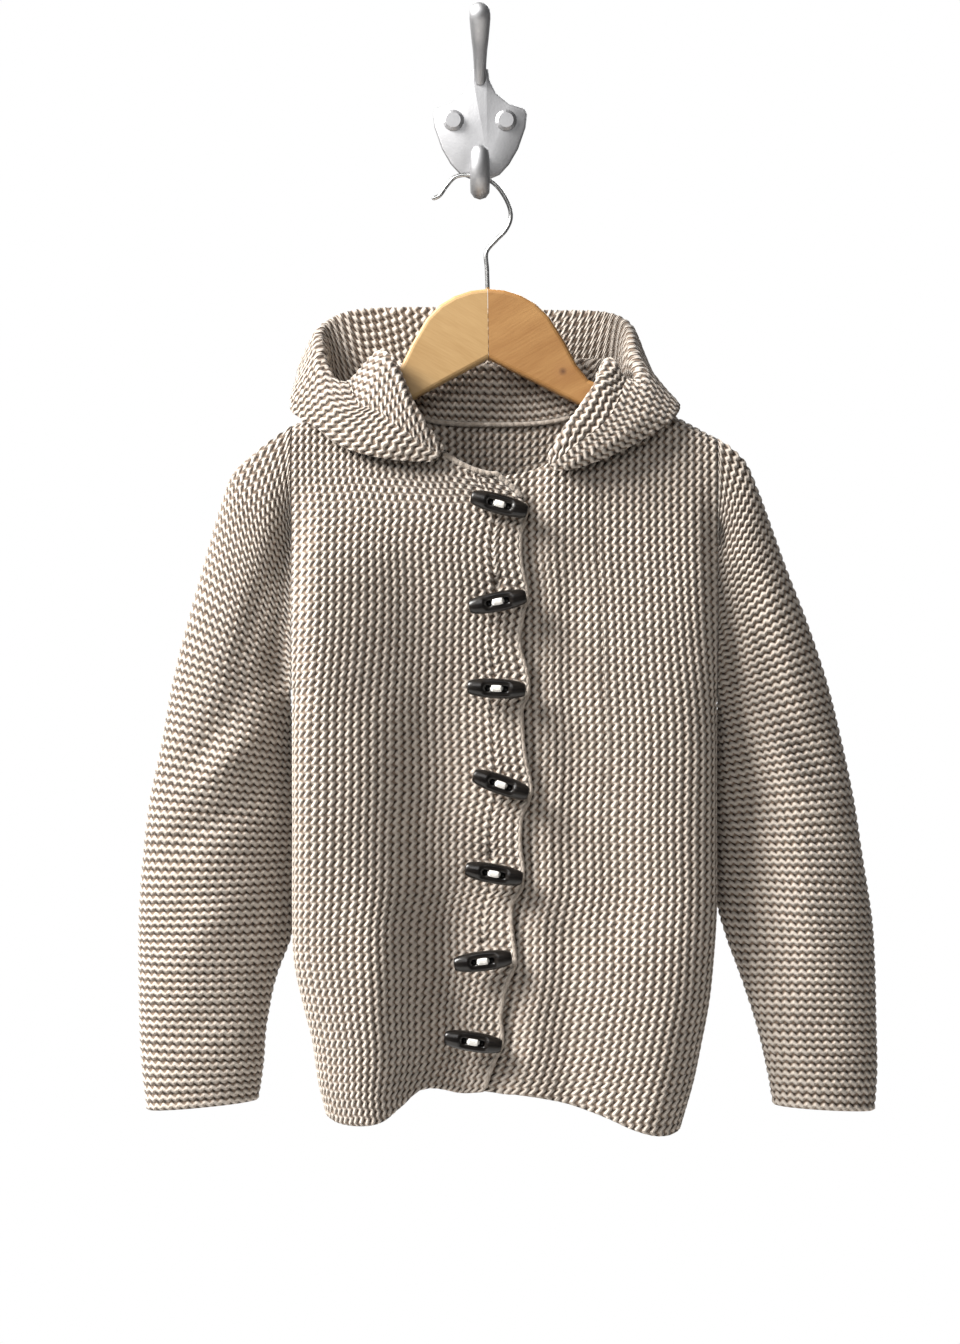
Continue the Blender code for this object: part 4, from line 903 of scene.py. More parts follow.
def knitted_panel(name, edges, face, low_neck, powers, facing, inside_fine, free, u_start,
                  crease_table, per_ridge=PER_RIDGE, per_stitch=PER_STITCH, relief=RELIEF):
    """One panel of the body as a shell, its points base - out (cut + relief (1 - stitch)); free names
    its free edges across: start, end."""
    width = float(shares_at(edges, face, np.array([0.0, 1.0]))[1][20:60].mean())
    ridges = max(int(round(width / PITCH)), 1)
    shares = np.linspace(0.0, 1.0, ridges * per_ridge + 1)
    near = EDGE_LINES / width
    if "end" in free:
        shares = np.sort(np.concatenate([shares, 1.0 - near]))
    if "start" in free:
        shares = np.sort(np.concatenate([shares, near]))
    table = shares_at(edges, face, shares)[0]
    low = int(400.0 / STITCH * per_stitch)
    z = np.full((1, len(shares)), UNDERARM_Z)
    for _ in range(5):
        x = edges(z, fractions_at(table, z))
        z = panel_rows(low, read(HEM, "across", "height", x[0]), panel_top(x[-1], low_neck, powers))
    x = edges(z, fractions_at(table, z))
    inside_neck = np.abs(x[-1] - NECK_CENTRE_X) < NECK_HALF
    away = panel_directions(face, x, z, facing, inside_neck)
    close = body_side(x, z)[0]
    base = np.stack([x, face(x, z) + facing * creases(x, z, crease_table) * close, z], axis=2)
    up = cumulative(base, 0)
    across = cumulative(base, 1)
    distance = up + 0.0
    if "end" in free:
        distance = np.minimum(distance, across[:, -1:] - across)
    if "start" in free:
        distance = np.minimum(distance, across)
    from_top = up[-1:] - up
    distance = np.minimum(distance, np.where(inside_neck[None, :], from_top, distance))
    u = u_start + np.repeat((shares * ridges)[None, :], len(z), axis=0)
    v = (-z[:1] - up) / STITCH if facing < 0.0 else (-2.0 * z[-1:] + z[:1] + up) / STITCH
    u = u + 0.05 * np.sin(z / 31.0 + 0.7 * u)
    height = stitch_relief(u, v)
    to_join = np.minimum(across, across[:, -1:] - across) if facing > 0.0 else (
        across if "end" in free else across[:, -1:] - across)
    height = height + (1.0 - height) * JOIN_LEVEL * np.exp(-(to_join / JOIN_WIDTH) ** 2) * (z > UNDERARM_Z)
    cut = rounding(distance)
    middle = CLOTH / 2.0
    fine = base - away * (middle * cut + relief * (1.0 - height))[..., None]
    showing = ease((z - z[-1:] + INSIDE_REACH) / 20.0) if inside_fine else np.zeros_like(z)
    inner_depth = CLOTH - middle * cut - INSIDE_RELIEF * (1.0 - height) * showing
    least_depth = middle * cut + relief * (1.0 - height) + LEAST_WALL
    thin = base - away * np.maximum(inner_depth, least_depth)[..., None]
    rows = every(len(z), 6, ((len(z) - INSIDE_ROWS, len(z)),) if inside_fine else ())
    columns = every(len(shares), 2 if inside_fine else 5)
    uv = np.stack([u, v], axis=-1)
    made = shell(name, fine, thin, rows, columns, uv, uv * (-1.0, 1.0), away)
    made.data.materials.append(KNIT)
    return made, ridges


print("extra lines at a free edge:", EDGE_LINES, "mm in")

# %% [markdown]
# ## Edges and faces of the panels
# The right front's free edge is scalloped: it comes out at every toggle, which holds it, and draws in
# between them.  Only the last ridges follow that, because the knitting gives way along its edge alone.
# The left front steps back to lie under the right one.

# %% Edges and faces
# The free edge as it hangs, from the neckline down.
SHOWN_EDGE = (
    ("level", "across"),
    (-222.0, 10.5), (-227.0, 15.5), (-232.0, 21.5), (-238.0, 27.0), (-243.0, 28.3), (-250.4, 26.5),
    (-256.0, 25.1), (-265.1, 24.7), (-273.4, 25.1), (-280.7, 26.5), (-288.0, 28.3), (-293.6, 28.8),
    (-301.9, 26.9), (-309.2, 25.6), (-317.5, 24.2), (-326.6, 25.1), (-334.0, 27.4), (-342.3, 29.2),
    (-352.4, 29.2), (-360.2, 25.9), (-369.9, 25.9), (-382.0, 26.6), (-394.0, 28.3), (-404.5, 30.7),
    (-410.9, 31.1), (-417.3, 29.0), (-423.7, 25.9), (-434.2, 24.7), (-446.2, 25.0), (-454.3, 26.2),
    (-462.3, 26.2), (-470.3, 24.6), (-474.7, 21.1), (-484.9, 19.4), (-497.5, 20.3), (-507.5, 21.5),
    (-514.3, 21.5), (-524.4, 16.9), (-535.3, 14.4), (-546.2, 13.1), (-554.7, 14.0), (-562.3, 13.6),
    (-571.5, 9.4), (-579.9, 6.0), (-588.4, 3.5), (-592.0, 0.5),
)


def under_edge(z):
    """The right front's free edge, straight up where its corner is rounded off."""
    return read(FREE_EDGE, "level", "across", np.minimum(z, FULL_LAP_Z))


def drawn_in(z):
    """How far the free edge hangs outside (positive) or inside the solid's edge."""
    return read(SHOWN_EDGE, "level", "across", z) - read(FREE_EDGE, "level", "across", z)


def right_edges(z, fractions):
    """X across the right front; only its last ridges follow the scallops of the free edge."""
    side = read(SIDES, "level", "right", z) + SEAM / 2.0
    straight = side + (read(FREE_EDGE, "level", "across", z) - side) * fractions
    return straight + drawn_in(z) * np.clip(fractions, 0.0, 1.0) ** 5


def left_edges(z, fractions):
    """X across the left front."""
    side = read(SIDES, "level", "left", z) - SEAM / 2.0
    hidden = under_edge(z) - OVERLAP
    return hidden + (side - hidden) * fractions


def back_edges(z, fractions):
    """X across the back."""
    right = read(SIDES, "level", "right", z) + SEAM / 2.0
    left = read(SIDES, "level", "left", z) - SEAM / 2.0
    return right + (left - right) * fractions


def right_face(x, z):
    """Y of the right front."""
    return np.minimum(front_y(x, z), seam_y(x, z) - SEAM / 2.0)


def left_face(x, z):
    """Y of the left front, which steps back to lie under the right one."""
    edge = under_edge(z) + np.maximum(drawn_in(z), 0.0)
    under = 1.0 - ease((x - edge - LAP_CLEAR) / LAP_STEP)
    return np.minimum(front_y(x, z) + (CLOTH + LAP_GAP) * under, seam_y(x, z) - SEAM / 2.0)


def back_face(x, z):
    """Y of the back."""
    return np.maximum(back_y(x, z), seam_y(x, z) + SEAM / 2.0)


deepest = -float(drawn_in(column(SHOWN_EDGE, "level")).min())
print("the free edge is drawn in by up to", round(deepest, 1), "mm")

# %% [markdown]
# ## The two fronts and the back
# The fronts' creases: a valley in front of each arm, broad soft swells, the deep fold beside the lower
# toggles and, as small pits, three of the buttonholes.  The back has the arm valleys and a few creases.

# %% The panels
# Each row: top and foot of a trough or ridge as x and z, its width, and how far it stands out.
ARM_VALLEYS = (
    (-112.0, -240.0, -119.0, -360.0, 10.0, -12.0),
    (141.0, -240.0, 148.0, -360.0, 8.5, -8.0),
)
BACK_SHARE = 0.5            # how deep the back's arm valleys are, against the front's
FRONT_CREASES = ARM_VALLEYS + (
    (-104.0, -232.0, -104.0, -640.0, 44.0, 6.5),
    (-44.0, -262.0, -36.0, -340.0, 20.0, -2.0),
    (-15.0, -310.0, -18.0, -490.0, 44.0, -11.0),
    (4.0, -450.0, 0.0, -640.0, 22.0, -7.0),
    (-66.0, -370.0, -58.0, -640.0, 18.0, 2.5),
    (-58.0, -475.0, -56.0, -640.0, 17.0, 2.5),
    (-31.0, -360.0, -22.0, -640.0, 20.0, -6.0),
    (-22.0, -470.0, -18.0, -640.0, 18.0, -8.5),
    (52.0, -268.0, 50.0, -640.0, 14.0, -3.5),
    (108.0, -285.0, 106.0, -640.0, 34.0, 3.5),
) + tuple((x, top, x, foot, 2.4, -5.0) for x, top, foot in (
    (10.2, -284.0, -288.0), (5.8, -446.5, -450.0), (3.5, -499.5, -503.0)))
BACK_CREASES = tuple(row[:-1] + (row[-1] * BACK_SHARE,) for row in ARM_VALLEYS) + (
    (-60.0, -250.0, -76.0, -420.0, 12.0, -1.8),
    (84.0, -255.0, 104.0, -430.0, 12.0, -1.8),
    (-20.0, -360.0, -34.0, -600.0, 14.0, -2.0),
    (38.0, -380.0, 50.0, -600.0, 16.0, 1.4),
    (76.0, -450.0, 84.0, -600.0, 12.0, -1.6),
)
NECK_POWERS = (FRONT_NECK_POWER["right"], FRONT_NECK_POWER["left"])
front_right, right_ridges = knitted_panel(
    "front_right_knit", right_edges, right_face, FRONT_NECK_Z, NECK_POWERS, -1.0, False, ("end",), 0,
    FRONT_CREASES)
front_left, left_ridges = knitted_panel(
    "front_left_knit", left_edges, left_face, FRONT_NECK_Z, NECK_POWERS, -1.0, False, ("start",), 40,
    FRONT_CREASES)
back, back_ridges = knitted_panel(
    "back_knit", back_edges, back_face, BACK_NECK_Z, (BACK_NECK_POWER, BACK_NECK_POWER), 1.0, True, (), 100,
    BACK_CREASES, 4, 3.6)
print("ridges:", right_ridges, left_ridges, back_ridges)

# %% [markdown]
# ## A sleeve's surface
# The knitting carries on sideways into the sleeves, so there the ridges cross the arm.  Every ridge is
# a straight line from the outer fold to the underarm: for each of its points the ring of the solid
# that passes through it is found by halving, and gives the depth front and back.

# %% A sleeve's surface
# Where the ridges end on the inner side, for each ring's outer point: first down the armhole.
INNER_Z = {
    "right": (-250.0, -255.0, -262.0, -272.0, -290.0, -314.0, -337.0, -364.0, -394.0, -424.0, -452.0,
              -486.0, -522.0, -552.0, -577.0, -597.0),
    "left": (-252.0, -257.0, -264.0, -274.0, -291.0, -314.0, -337.0, -364.0, -394.0, -424.0, -452.0,
             -486.0, -522.0, -552.0, -577.0, -600.0),
}
HALVINGS = 26


def closed_underarm(table, side, last=6):
    """A sleeve's table with the inner points of its first rings drawn to the body's side."""
    at = table[0].index("inner_x")
    rows = [row[:at] + (side,) + row[at + 1:] if 0 < i < last else row for i, row in enumerate(table[1:])]
    return (table[0],) + tuple(rows)


def ring_value(table, name, place):
    """One column of a sleeve's table at places counted in its rings."""
    values = column(table, name)
    return smooth_through(np.arange(len(values), dtype=float), values, place)


def ring_through(table, x, z, sign):
    """The ring whose line from inner to outer point passes through (x, z), counted in rings."""
    low, high = np.zeros(x.shape), np.full(x.shape, len(table) - 2.0)
    for _ in range(HALVINGS):
        place = 0.5 * (low + high)
        inner_x, inner_z = ring_value(table, "inner_x", place), ring_value(table, "inner_z", place)
        outer_x, outer_z = ring_value(table, "outer_x", place), ring_value(table, "outer_z", place)
        side = -sign * ((outer_x - inner_x) * (z - inner_z) - (outer_z - inner_z) * (x - inner_x))
        low, high = np.where(side > 0.0, place, low), np.where(side > 0.0, high, place)
    return 0.5 * (low + high)


def sleeve_y(table, x, z, facing, sign):
    """Y of the sleeve at (x, z) on its front (-1) or its back (1)."""
    place = ring_through(table, x, z, sign)
    inner_x, inner_z = ring_value(table, "inner_x", place), ring_value(table, "inner_z", place)
    across_x = ring_value(table, "outer_x", place) - inner_x
    across_z = ring_value(table, "outer_z", place) - inner_z
    reach = ((x - inner_x) * across_x + (z - inner_z) * across_z) / (across_x**2 + across_z**2)
    reach = np.clip(reach, 0.0, 1.0)
    nose = ring_value(table, "nose_y", place)
    middle = nose + (HANGER_Y - nose) * ease(1.6 * reach)
    y = middle + facing * ring_value(table, "depth", place) * arch(1.0 - np.abs(2.0 * reach - 1.0), 2.2)
    armhole = front_y(x, z) if facing < 0.0 else back_y(x, z)
    return y + (armhole - y) * (1.0 - ease(place / 4.0))


print("a ring is found to", round(len(RIGHT_SLEEVE) / 2.0**HALVINGS, 8), "of a ring")

# %% [markdown]
# ## Half a sleeve
# Along each line the points are spaced evenly on the creased cloth, not on the picture, so that the
# stitches keep their size where the cloth turns away.

# %% Half a sleeve
SAMPLES_ROUND = 160         # samples along a line when its length is measured on the cloth


def sleeve_half(table, ends, facing, sign, count, crease_table):
    """Points of a sleeve's front or back: a row for each of the lines, evenly spaced along the cloth."""
    outer, inner = ends
    reach = 0.5 - 0.5 * np.cos(np.linspace(0.0, math.pi, SAMPLES_ROUND)[None, :])
    depth_share = 1.0 if facing < 0.0 else BACK_SHARE

    def points(share):
        """Points at shares of the way from the outer to the inner end, pushed out by the creases."""
        x = outer[:, :1] + (inner[:, :1] - outer[:, :1]) * share
        z = outer[:, 1:] + (inner[:, 1:] - outer[:, 1:]) * share
        fade = np.sin(math.pi * np.clip(share, 0.0, 1.0))
        armhole = arch((z - UNDERARM_Z) / (CREASE_TOP_Z - UNDERARM_Z))
        push = creases(x, z, crease_table) * fade + creases(x, z, ARM_VALLEYS) * armhole * depth_share
        y = sleeve_y(table, x, z, facing, sign) + facing * push
        return np.stack([x, y, z], axis=-1)

    run = cumulative(points(np.repeat(reach, len(outer), axis=0)), 1)
    wanted = np.linspace(0.0, 1.0, count)
    share = np.array([np.interp(wanted, line / line[-1], reach[0]) for line in run])
    return points(share)


print("samples on each line across the arm:", SAMPLES_ROUND)

# %% [markdown]
# ## One sleeve
# The two halves, front and back, make one grid that goes round the arm and closes along the underarm,
# where the relief levels out.  At the armhole it meets the body's panels, and the cuff is rounded.

# %% One sleeve
SLEEVE_PER_RIDGE = 4        # grid lines for each ridge
SLEEVE_COLUMNS = 96         # columns on each half, front and back
RING_SAMPLES = 1500         # samples along the inner fold


def sleeve_directions(base, below):
    """Directions out of a sleeve, laid into the plane of each join and shared along the underarm."""
    away = np.cross(np.gradient(base, axis=1), np.gradient(base, axis=0))
    if float((away[:, :SLEEVE_COLUMNS // 2, 1]).mean()) > 0.0:
        away = -away
    away = evened(unit(away), 2)
    away[0, :, 0] = 0.0
    away[~below, 0, 0] = 0.0
    away[~below, -1, 0] = 0.0
    seam = unit(away[:, 0] + away[:, -1])
    away[below, 0], away[below, -1] = seam[below], seam[below]
    return unit(away)


def knitted_sleeve(name, side, table, sign, u_start, crease_table):
    """A sleeve as a shell: from the underarm over the front to the outer fold and back along the back."""
    armhole_x = table[1][0]
    lines = np.arange(len(INNER_Z[side]), dtype=float)
    ring_places = np.linspace(0.0, lines[-1], RING_SAMPLES)
    heights = -ring_value(table, "inner_z", ring_places)

    def inner_points(level):
        """The inner ends of the ridges: on the armhole above the underarm, on the inner fold below it."""
        place = np.interp(-level, heights, ring_places)
        below = level < UNDERARM_Z
        x = np.where(below, ring_value(table, "inner_x", place), armhole_x)
        return np.stack([x, np.where(below, ring_value(table, "inner_z", place), level)], axis=1), below

    levels = np.array(INNER_Z[side])
    outer = np.stack([column(table, "outer_x"), column(table, "outer_z")], axis=1)
    inner = inner_points(levels)[0]
    step = 0.5 * (np.hypot(*np.diff(outer, axis=0).T) + np.hypot(*np.diff(inner, axis=0).T))
    run = np.concatenate([[0.0], np.cumsum(step)])
    ridges = int(round(run[-1] / PITCH))
    places = np.linspace(0.0, run[-1], ridges * SLEEVE_PER_RIDGE + 1)
    places = np.sort(np.concatenate([places, run[-1] - EDGE_LINES]))
    on_outer = smooth_through(run, lines, places)
    outer = np.stack([ring_value(table, "outer_x", on_outer), ring_value(table, "outer_z", on_outer)], axis=1)
    inner, below = inner_points(smooth_through(run, levels, places))
    halves = [sleeve_half(table, (outer, inner), facing, sign, SLEEVE_COLUMNS, crease_table)
              for facing in (-1.0, 1.0)]
    base = np.concatenate([halves[0][:, ::-1], halves[1][:, 1:]], axis=1)
    rows, columns = base.shape[:2]
    base[:, [0, -1], 0] += np.where(below, 0.0, sign * SEAM / 2.0)[:, None]
    base[0, :, 0] += sign * SEAM / 2.0
    away = sleeve_directions(base, below)
    arc = cumulative(base, 1)
    u = u_start + sign * np.repeat((places / run[-1] * ridges)[:, None], columns, axis=1)
    v = (-column(table, "outer_z")[0] + (arc[:, SLEEVE_COLUMNS - 1:SLEEVE_COLUMNS] - arc)) / STITCH
    u = u + 0.06 * np.sin(arc / 23.0 + 0.5 * u)
    height = stitch_relief(u, v)
    cut = rounding(np.repeat((run[-1] - places)[:, None], columns, axis=1))
    to_join = np.where(below[:, None], 99.0, np.minimum(arc, arc[:, -1:] - arc))
    to_join = np.minimum(to_join, places[:, None])
    height = height + (1.0 - height) * JOIN_LEVEL * np.exp(-(to_join / JOIN_WIDTH) ** 2)
    seam_shade = np.exp(-(np.minimum(arc, arc[:, -1:] - arc) / 2.0) ** 2) * below[:, None]
    depth = CLOTH / 2.0 * cut + RELIEF * (1.0 - height * (1.0 - seam_shade))
    fine = base - away * depth[..., None]
    thin = base - away * np.maximum(CLOTH - CLOTH / 2.0 * cut, depth + LEAST_WALL)[..., None]
    uv = np.stack([u, v], axis=-1)
    made = shell(name, fine, thin, every(rows, 5), every(columns, 5), uv, uv * (-1.0, 1.0), away)
    made.data.materials.append(KNIT)
    return made


print("columns round a sleeve:", 2 * SLEEVE_COLUMNS - 1)

# %% [markdown]
# ## The two sleeves
# Creases run from the underarm out and down across each arm, where the cloth bends.  The first rings
# are drawn to the body's side, which closes the slit between arm and body up to the real underarm.

# %% The sleeves
RIGHT_SLEEVE_CREASES = (
    (-120.0, -268.0, -150.0, -352.0, 9.0, -3.0),
    (-122.0, -330.0, -176.0, -398.0, 10.0, -3.0),
    (-128.0, -372.0, -188.0, -420.0, 8.0, 2.0),
    (-130.0, -410.0, -192.0, -446.0, 9.0, -2.6),
    (-140.0, -470.0, -196.0, -520.0, 12.0, 1.5),
    (-150.0, -540.0, -196.0, -560.0, 10.0, -1.4),
)
LEFT_SLEEVE_CREASES = (
    (152.0, -268.0, 178.0, -350.0, 9.0, -3.0),
    (152.0, -330.0, 202.0, -394.0, 10.0, -3.0),
    (157.0, -366.0, 174.0, -530.0, 15.0, -7.0),
    (160.0, -372.0, 214.0, -418.0, 8.0, 2.0),
    (162.0, -412.0, 220.0, -444.0, 9.0, -2.6),
    (174.0, -470.0, 226.0, -516.0, 12.0, 1.5),
    (184.0, -540.0, 230.0, -562.0, 10.0, -1.4),
)
sleeve_right = knitted_sleeve("sleeve_right_knit", "right", closed_underarm(RIGHT_SLEEVE, -113.05),
                              -1.0, 0, RIGHT_SLEEVE_CREASES)
sleeve_left = knitted_sleeve("sleeve_left_knit", "left", closed_underarm(LEFT_SLEEVE, 142.4),
                             1.0, 60, LEFT_SLEEVE_CREASES)

# %% [markdown]
# ## Curves in space
# A fold is drawn by a few points, and a curve through them in space gives the rest.  Its parameter
# grows with the square root of the distance, which keeps it from looping where points lie close.

# %% Curves in space
def curve_keys(points):
    """Centripetal parameters of a list of points."""
    steps = np.sqrt(np.linalg.norm(np.diff(points, axis=0), axis=1))
    return np.concatenate([[0.0], np.cumsum(np.maximum(steps, 1e-3))])


def through(points, places, keys=None):
    """Points on the smooth curve through a list of points, at places counted in its rows.

    The curve is centripetal: its parameter grows with the square root of the distance between rows.
    """
    points = np.asarray(points, dtype=float)
    if keys is None:
        keys = curve_keys(points)
    at = np.interp(places, np.arange(len(points)), keys)
    return np.stack([smooth_through(keys, points[:, i], at) for i in range(3)], axis=1)


square = through([(0.0, 0.0, 0.0), (1.0, 0.0, 0.0), (1.0, 1.0, 0.0)], [0.5])
print("halfway along the first side of a square:", square.round(3))

# %% [markdown]
# ## The neck seam
# The hood is knitted on round the neck, so its surface starts there.  The seam follows both necklines,
# from one front end round the back to the other.

# %% The neck seam
def neck_seam():
    """The hood's seam, closely sampled from its front right end round the back to its front left end.

    It runs HOOD_SEAM off the body's neckline, level with the cloth's outside.  Returns its points, the
    distance run up to each, and which of them lie on the back.
    """
    fine = np.linspace(0.0, 1.0, 160)
    halves = []
    for side, low, powers, outside in (
        (-1.0, FRONT_NECK_Z, (FRONT_NECK_POWER["right"],) * 2, front_y),
        (-1.0, BACK_NECK_Z, (BACK_NECK_POWER,) * 2, back_y),
        (1.0, BACK_NECK_Z, (BACK_NECK_POWER,) * 2, back_y),
        (1.0, FRONT_NECK_Z, (FRONT_NECK_POWER["left"],) * 2, front_y),
    ):
        x = NECK_CENTRE_X + side * NECK_HALF * (1.0 - fine**3)
        z = panel_top(x, low, powers)
        rise = np.hypot(np.gradient(x), np.gradient(z))
        x_off = x - side * HOOD_SEAM * np.abs(np.gradient(z)) / rise
        z_off = z + HOOD_SEAM * np.abs(np.gradient(x)) / rise
        halves.append(np.stack([x_off, outside(x, z), z_off], axis=1))
    points = np.concatenate([halves[0][::-1], halves[1], halves[2][::-1], halves[3]])
    steps = np.linalg.norm(np.diff(points, axis=0), axis=1)
    on_back = np.repeat([False, True, True, False], len(fine))
    return points, np.concatenate([[0.0], np.cumsum(steps)]), on_back


print("neck seam:", round(float(neck_seam()[1][-1])), "mm round")

# %% [markdown]
# ## Sections of the hood
# Each row of the table gives one section through the folds.  A fold gets three points, so that the
# curve goes round it and doesn't cut across.

# %% Sections of the hood
def rounded(before, point, after, gap):
    """Three points for every row that lead the cloth round a fold: the closer its two legs come
    together, the further the first and last points are moved along them.

    The legs are seen along the fold, whose line runs from row to row.
    """
    fold_line = unit(np.gradient(point, axis=0))
    to_before, to_after = (
        unit(leg - fold_line * np.sum(leg * fold_line, axis=1, keepdims=True))
        for leg in (before - point, after - point)
    )
    closed = 0.5 * (1.0 + np.sum(to_before * to_after, axis=1, keepdims=True))
    sideways, legs = unit(to_after - to_before), unit(to_after + to_before)
    along = legs * gap * closed
    return np.stack([point - sideways * gap + along, point, point + sideways * gap + along], axis=1)


def hood_sections(seam):
    """The hood's sections, one for each row of HOOD, from the given places on its seam to its edge."""
    roll, valley, rim, edge = (column(HOOD, name) for name in ("roll", "valley", "rim", "edge"))
    roll_gap, valley_gap, rim_gap = (
        column(HOOD, name)[:, None] for name in ("roll_gap", "valley_gap", "rim_gap"))
    guides = np.concatenate([
        seam[:, None],
        rounded(seam, roll, valley, roll_gap),
        rounded(roll, valley, rim, valley_gap),
        rounded(valley, rim, edge, rim_gap),
        edge[:, None],
    ], axis=1)
    return np.array([through(section, HOOD_SAMPLES) for section in guides])


print("folds in each section: the first roll, the valley and the rim")

# %% [markdown]
# ## A surface through the sections
# A smooth surface goes through all sections.  Where the laid-back cloth lies on the shoulders it is
# lifted just clear of them.

# %% A surface through the sections
def hood_points():
    """Outside points of the hood: sections for the rows of HOOD, and a smooth surface through them,
    lifted clear of the body where it lies on it."""
    seam, run, on_back = neck_seam()
    wrong_side = on_back[None, :] != (column(HOOD, "side") == "back")[:, None]
    distance = np.abs(seam[None, :, 0] - column(HOOD, "seam_x")[:, None]) + wrong_side / MM
    nearest = np.argmin(distance, axis=1)
    sections = hood_sections(seam[nearest])
    keys = np.mean([curve_keys(sections[:, j]) for j in range(len(HOOD_SAMPLES))], axis=0)
    travel = np.linalg.norm(np.diff(sections, axis=0), axis=2).max(axis=1) + HOOD_SPARE
    travel = np.concatenate([[0.0], np.cumsum(travel)])
    places = np.interp(np.linspace(0.0, travel[-1], HOOD_COLUMNS), travel, np.arange(len(sections)))
    grid = np.array([through(sections[:, j], places, keys) for j in range(len(HOOD_SAMPLES))])
    along_seam = np.interp(places, np.arange(len(sections)), run[nearest])
    to_seam = np.stack([np.interp(along_seam, run, seam[:, i]) for i in range(3)], axis=1) - grid[0]
    grid += to_seam * np.clip(1.0 - np.array(HOOD_SAMPLES) / 1.5, 0.0, 1.0)[:, None, None]
    x, y, z = grid[..., 0], grid[..., 1], grid[..., 2]
    lying = (np.array(HOOD_SAMPLES) >= 3.0)[:, None] & (z < read(SHOULDERS, "across", "height", x))
    in_front = np.minimum(y, front_y(x, z) - HOOD_LIFT)
    behind = np.maximum(y, back_y(x, z) + HOOD_LIFT)
    grid[..., 1] = np.where(lying, np.where(y < HANGER_Y, in_front, behind), y)
    return grid


def smooth_rows(grid, keys, at):
    """Rows of a grid at places between its rows: cubic Hermite curves through all of its points."""
    chords = np.diff(grid, axis=0) / np.diff(keys)[:, None, None]
    slopes = np.concatenate([chords[:1], 0.5 * (chords[1:] + chords[:-1]), chords[-1:]])
    i = np.clip(np.searchsorted(keys, at) - 1, 0, len(keys) - 2)
    run = (keys[i + 1] - keys[i])[:, None, None]
    t = ((at - keys[i])[:, None, None]) / run
    return (
        (2 * t**3 - 3 * t**2 + 1) * grid[i]
        + (t**3 - 2 * t**2 + t) * run * slopes[i]
        + (3 * t**2 - 2 * t**3) * grid[i + 1]
        + (t**3 - t**2) * run * slopes[i + 1]
    )


GUIDES = hood_points()
print("guide points of the hood:", GUIDES.shape[:2])

# %% [markdown]
# ## Fine grids of the hood
# Both pieces of the hood are cut out of one fine grid, so they meet exactly.  It runs through the
# guide points, and the directions that look out of it are evened before the cloth gets its thickness.

# %% Fine grids of the hood
ROW_KEYS = cumulative(GUIDES, 0).mean(axis=1)
COLUMN_KEYS = cumulative(GUIDES, 1)[[0, 6, 12, 18]].mean(axis=0)
HOOD_STEP = 1.3             # between the fine columns
HOOD_ROUNDING = 1.2         # radius of its rounded edges
VALLEY, RIM = 5.0, 8.0      # the valley and the rim, counted in guide points


def hood_grid(places):
    """Fine grid of the hood's outer face at guide places, with the directions that look out of it."""
    rows = smooth_rows(GUIDES, ROW_KEYS, np.interp(places, HOOD_SAMPLES, ROW_KEYS))
    count = int(COLUMN_KEYS[-1] / HOOD_STEP)
    at = np.linspace(0.0, COLUMN_KEYS[-1], count)
    grid = smooth_rows(rows.transpose(1, 0, 2), COLUMN_KEYS, at).transpose(1, 0, 2)
    out = np.cross(np.gradient(grid, axis=0), np.gradient(grid, axis=1))
    if places[0] == 0.0:
        along = np.gradient(grid[0], axis=0)
        out[0] = np.stack([-along[:, 1], along[:, 0], np.zeros(len(along))], axis=1)
    return grid, evened(unit(out), 6)


def hood_thickness(places):
    """Thickness of the hood's cloth: thinner on its seam."""
    row = np.interp(places, HOOD_SAMPLES, np.arange(len(HOOD_SAMPLES)))
    return (SEAM_CLOTH + (HOOD_CLOTH - SEAM_CLOTH) * ease((row - 2.0) / 4.0))[:, None]


def ends_round(grid):
    """Distance from the hood's two front ends."""
    across = cumulative(grid, 1)
    return np.minimum(across, across[:, -1:] - across)


print("the hood is", round(float(COLUMN_KEYS[-1])), "mm round and", round(float(ROW_KEYS[-1])), "mm deep")

# %% [markdown]
# ## The near wall of the hood
# Laid back, the hood is dressed in two pieces that meet in the valley.  On the near one the ridges
# follow the neck seam and come round to the lapels in front.  Each row is counted to the same number
# of stitches at both ends, so that the stitches of neighbouring ridges stay beside each other there.

# %% The near wall
LAPEL_HALF = 170.0          # length to which every row is stretched from its middle, in the stitch count
NEAR_RELIEF = 0.85

near_places = np.concatenate([np.linspace(0.0, 3.0, 48), np.linspace(3.0, 3.65, 12)[1:],
                              np.linspace(3.65, VALLEY, 20)[1:]])
grid, out = hood_grid(near_places)
thick = hood_thickness(near_places)
run = cumulative(grid, 0)
u = run / PITCH + 0.5
from_middle = cumulative(grid, 1)
from_middle = from_middle - from_middle[:, from_middle.shape[1] // 2, None]
half = np.where(from_middle < 0.0, -from_middle[:, :1], from_middle[:, -1:])
stretch = (LAPEL_HALF - half) * np.clip((np.abs(from_middle) / half - 0.05) / 0.5, 0.0, 1.0)
v = (from_middle + np.sign(from_middle) * stretch) / STITCH
u = u + 0.08 * np.sin(v * 0.5)
hidden = np.clip((run[-1:] - 70.0) / 40.0, 0.0, 1.0)   # the deep valley behind the neck stays plain
fade = 1.0 - ease((near_places[:, None] - 3.2) / 0.6) * hidden
height = stitch_relief(u, v) * fade + 0.5 * (1.0 - fade)
cut = rounding(ends_round(grid), HOOD_ROUNDING)
inward = thick * (1.0 - 0.5 * cut) - NEAR_RELIEF * (1.0 - height) * np.clip(thick / HOOD_CLOTH, 0.0, 1.0)
face = grid - out * inward[..., None]
rear = grid - out * (thick * 0.5 * cut)[..., None]
uv = np.stack([u, v], axis=-1)
